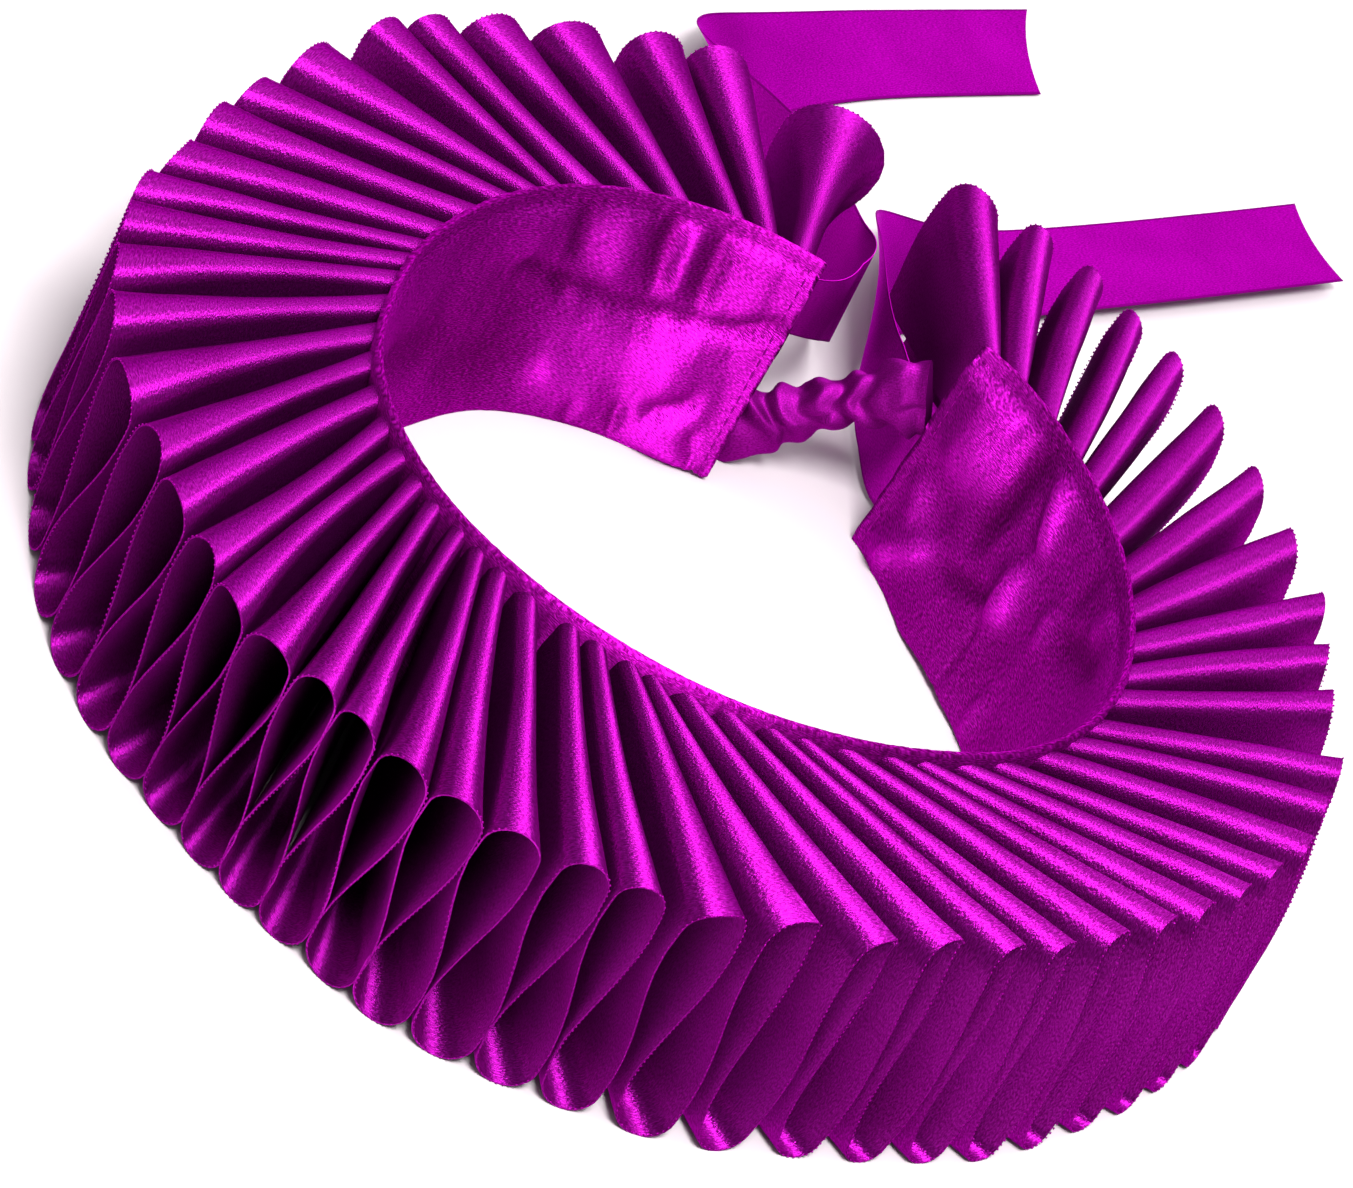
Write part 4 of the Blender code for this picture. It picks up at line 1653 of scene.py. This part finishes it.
@dataclass
class Tie:
    """One ribbon tie, which leaves the band on its edge and then lies on the table."""

    side: Side
    route: Sequence[TieStation]
    slant: float
    cloth: Satin = TIE_SATIN
    width: float = TIE_WIDTH
    gathered: float = 1.0
    gathered_length: float = 32 * MM
    thickness: float = 0.16 * MM
    step: float = 1.6 * MM
    rows: int = 13
    notch: float = 2.0 * MM
    notch_reach: float = 14 * MM
    curl: float = 0.5 * MM
    ripple: float = 0.3 * MM
    ripple_scale: float = 30.0
    seed: float = 5.0
    easing: int = 9

    def eased(self, edge: list[Vector]) -> list[Vector]:
        """An edge line with its sharp turns rounded.

        Args:
            edge: The points along one selvedge.

        Returns:
            As many points, with the two ends where they were.
        """
        made = []
        for i in range(len(edge)):
            reach = min(self.easing, i, len(edge) - 1 - i)
            near = edge[i - reach:i + reach + 1]
            made.append(sum(near, Vector()) / len(near))
        return made

    def build(self) -> list[bpy.types.Object]:
        """Makes the tie.

        Returns:
            The piece, in a list.
        """
        rows = centre_line(self.route, self.step)
        points = [Vector(row[:3]) * MM for row in rows]
        lefts, rights = [], []
        for i, (point, forward, row) in enumerate(zip(points, directions(points), rows)):
            level = Vector((forward.x, forward.y, 0)).normalized()
            left = Vector((-level.y, level.x, 0))
            stand = math.radians(row[3])
            wide = left * math.cos(stand) + Vector((0, 0, math.sin(stand)))
            left_over = (len(points) - 1 - i) * self.step
            end_share = max(0.0, 1 - left_over / (2 * self.slant))
            share = min(1.0, i * self.step / self.gathered_length)
            gather = self.gathered + (1 - self.gathered) * share * share * (3 - 2 * share)
            half = wide * gather * self.width / 2 + level * end_share * self.slant / 2
            lift = Vector((0, 0, max(0.0, self.thickness - min((point - half).z, (point + half).z))))
            rights.append(point - half + lift)
            lefts.append(point + half + lift)
        lefts, rights = self.eased(lefts), self.eased(rights)
        along = lengths_along(points)
        curls = [self.curl * (0.6 + 0.4 * soft_noise(place * 40, 0.0, 31.0)) for place in along]
        middle = []
        for a, b, c, place, forward in zip(lefts, rights, curls, along, directions(points)):
            near_end = max(0.0, 1 - (along[-1] - place) / self.notch_reach)
            middle.append((a + b) / 2 + Vector((0, 0, c)) - forward * self.notch * near_end)
        name = f"tie_{self.side.value}_ribbon"
        piece = grown(name, ribbon_guide(name + "_lines", rights, middle, lefts, along), ribbon_tree(), {
            "Columns": len(points), "Rows": self.rows, "Width": self.width, "Thickness": self.thickness,
            "Ripple": self.ripple, "Ripple Scale": self.ripple_scale, "Seed": self.seed,
            "Cloth": self.cloth.material(),
        })
        settle(piece, [f"tie_{self.side.value}"])
        return [piece]


# ---------------------------------------------------------------------------------------------------
# Studio
# ---------------------------------------------------------------------------------------------------


@dataclass(frozen=True)
class SoftLight:
    """A rectangular soft light that faces the collar."""

    name: str
    azimuth_deg: float
    elevation_deg: float
    distance: float
    size: float
    power: float

    def build(self) -> bpy.types.Object:
        """Makes the light, turned towards the middle of the collar.

        Returns:
            The light.
        """
        data = bpy.data.lights.new(self.name, "AREA")
        data.shape = "SQUARE"
        data.size = self.size
        data.energy = self.power
        light = bpy.data.objects.new(self.name, data)
        elevation = math.radians(self.elevation_deg)
        level = on_ring(math.cos(elevation), self.azimuth_deg, math.sin(elevation))
        light.location = self.distance * level
        light.rotation_euler = light.location.to_track_quat("Z", "Y").to_euler()
        bpy.context.scene.collection.objects.link(light)
        return light


@dataclass(frozen=True)
class Studio:
    """The table, the soft lights and the camera."""

    elevation_deg: float = 37.019
    roll_deg: float = 31.595
    distance: float = 0.87806
    aim: tuple[float, float, float] = (-0.0011, 0.0284, 0.0)
    lens_mm: float = 137.28
    shift_x: float = -0.01735
    shift_y: float = -0.02511
    table_size: float = 6.0
    ambient: float = 0.38
    lights: tuple[SoftLight, ...] = (
        SoftLight("key_softbox", 284, 63, 1.2, 0.34, 23.0),
        SoftLight("top_softbox", 280, 86, 1.2, 1.4, 14.0),
        SoftLight("back_softbox", 95, 44, 1.6, 1.8, 15.0),
    )

    def build(self) -> None:
        """Makes the camera, the table, the lights and the world."""
        self.camera()
        half = self.table_size / 2
        mesh = bpy.data.meshes.new("table")
        corners = [(-half, -half, 0), (half, -half, 0), (half, half, 0), (-half, half, 0)]
        mesh.from_pydata(corners, [], [(0, 1, 2, 3)])
        mesh.materials.append(Table().material())
        table = bpy.data.objects.new("table", mesh)
        bpy.context.scene.collection.objects.link(table)
        for light in self.lights:
            light.build()
        world = bpy.data.worlds.new("studio_white")
        world.use_nodes = True
        background = world.node_tree.nodes["Background"]
        background.inputs["Color"].default_value = (1.0, 1.0, 1.0, 1.0)
        background.inputs["Strength"].default_value = self.ambient
        bpy.context.scene.world = world
        bpy.context.scene.view_settings.view_transform = "Standard"

    def camera(self) -> None:
        """Makes the camera that looks down on the collar from the front."""
        data = bpy.data.cameras.new("camera")
        data.sensor_width = SENSOR_MM
        data.lens = self.lens_mm
        data.shift_x = self.shift_x
        data.shift_y = self.shift_y
        data.clip_start = CLIP_START
        camera = bpy.data.objects.new("camera", data)
        elevation = math.radians(self.elevation_deg)
        back = Vector((0, -math.cos(elevation), math.sin(elevation)))
        up = Vector((0, math.sin(elevation), math.cos(elevation)))
        roll = Matrix.Rotation(math.radians(self.roll_deg), 3, "Z")
        turn = Matrix((Vector((1, 0, 0)), up, back)).transposed() @ roll
        camera.matrix_world = Matrix.Translation(Vector(self.aim) + back * self.distance) @ turn.to_4x4()
        bpy.context.scene.collection.objects.link(camera)
        bpy.context.scene.camera = camera


def main() -> None:
    """Builds the studio and every sub-assembly in order, and reports each piece."""
    logging.basicConfig(level=logging.INFO, format="%(name)s: %(message)s")
    Studio().build()
    band = BandShape()
    assemblies: tuple[Callable[[], list[bpy.types.Object]], ...] = (
        Ruffle(band).build,
        Neckband(band).build,
        ElasticCasing().build,
        Tie(Side.LEFT, LEFT_TIE, slant=13.0 * MM, gathered=0.52).build,
        Tie(Side.RIGHT, RIGHT_TIE, slant=9.0 * MM).build,
    )
    for build in assemblies:
        LOG.info("made %s", ", ".join(piece.name for piece in build()))


if __name__ == "__main__":
    main()
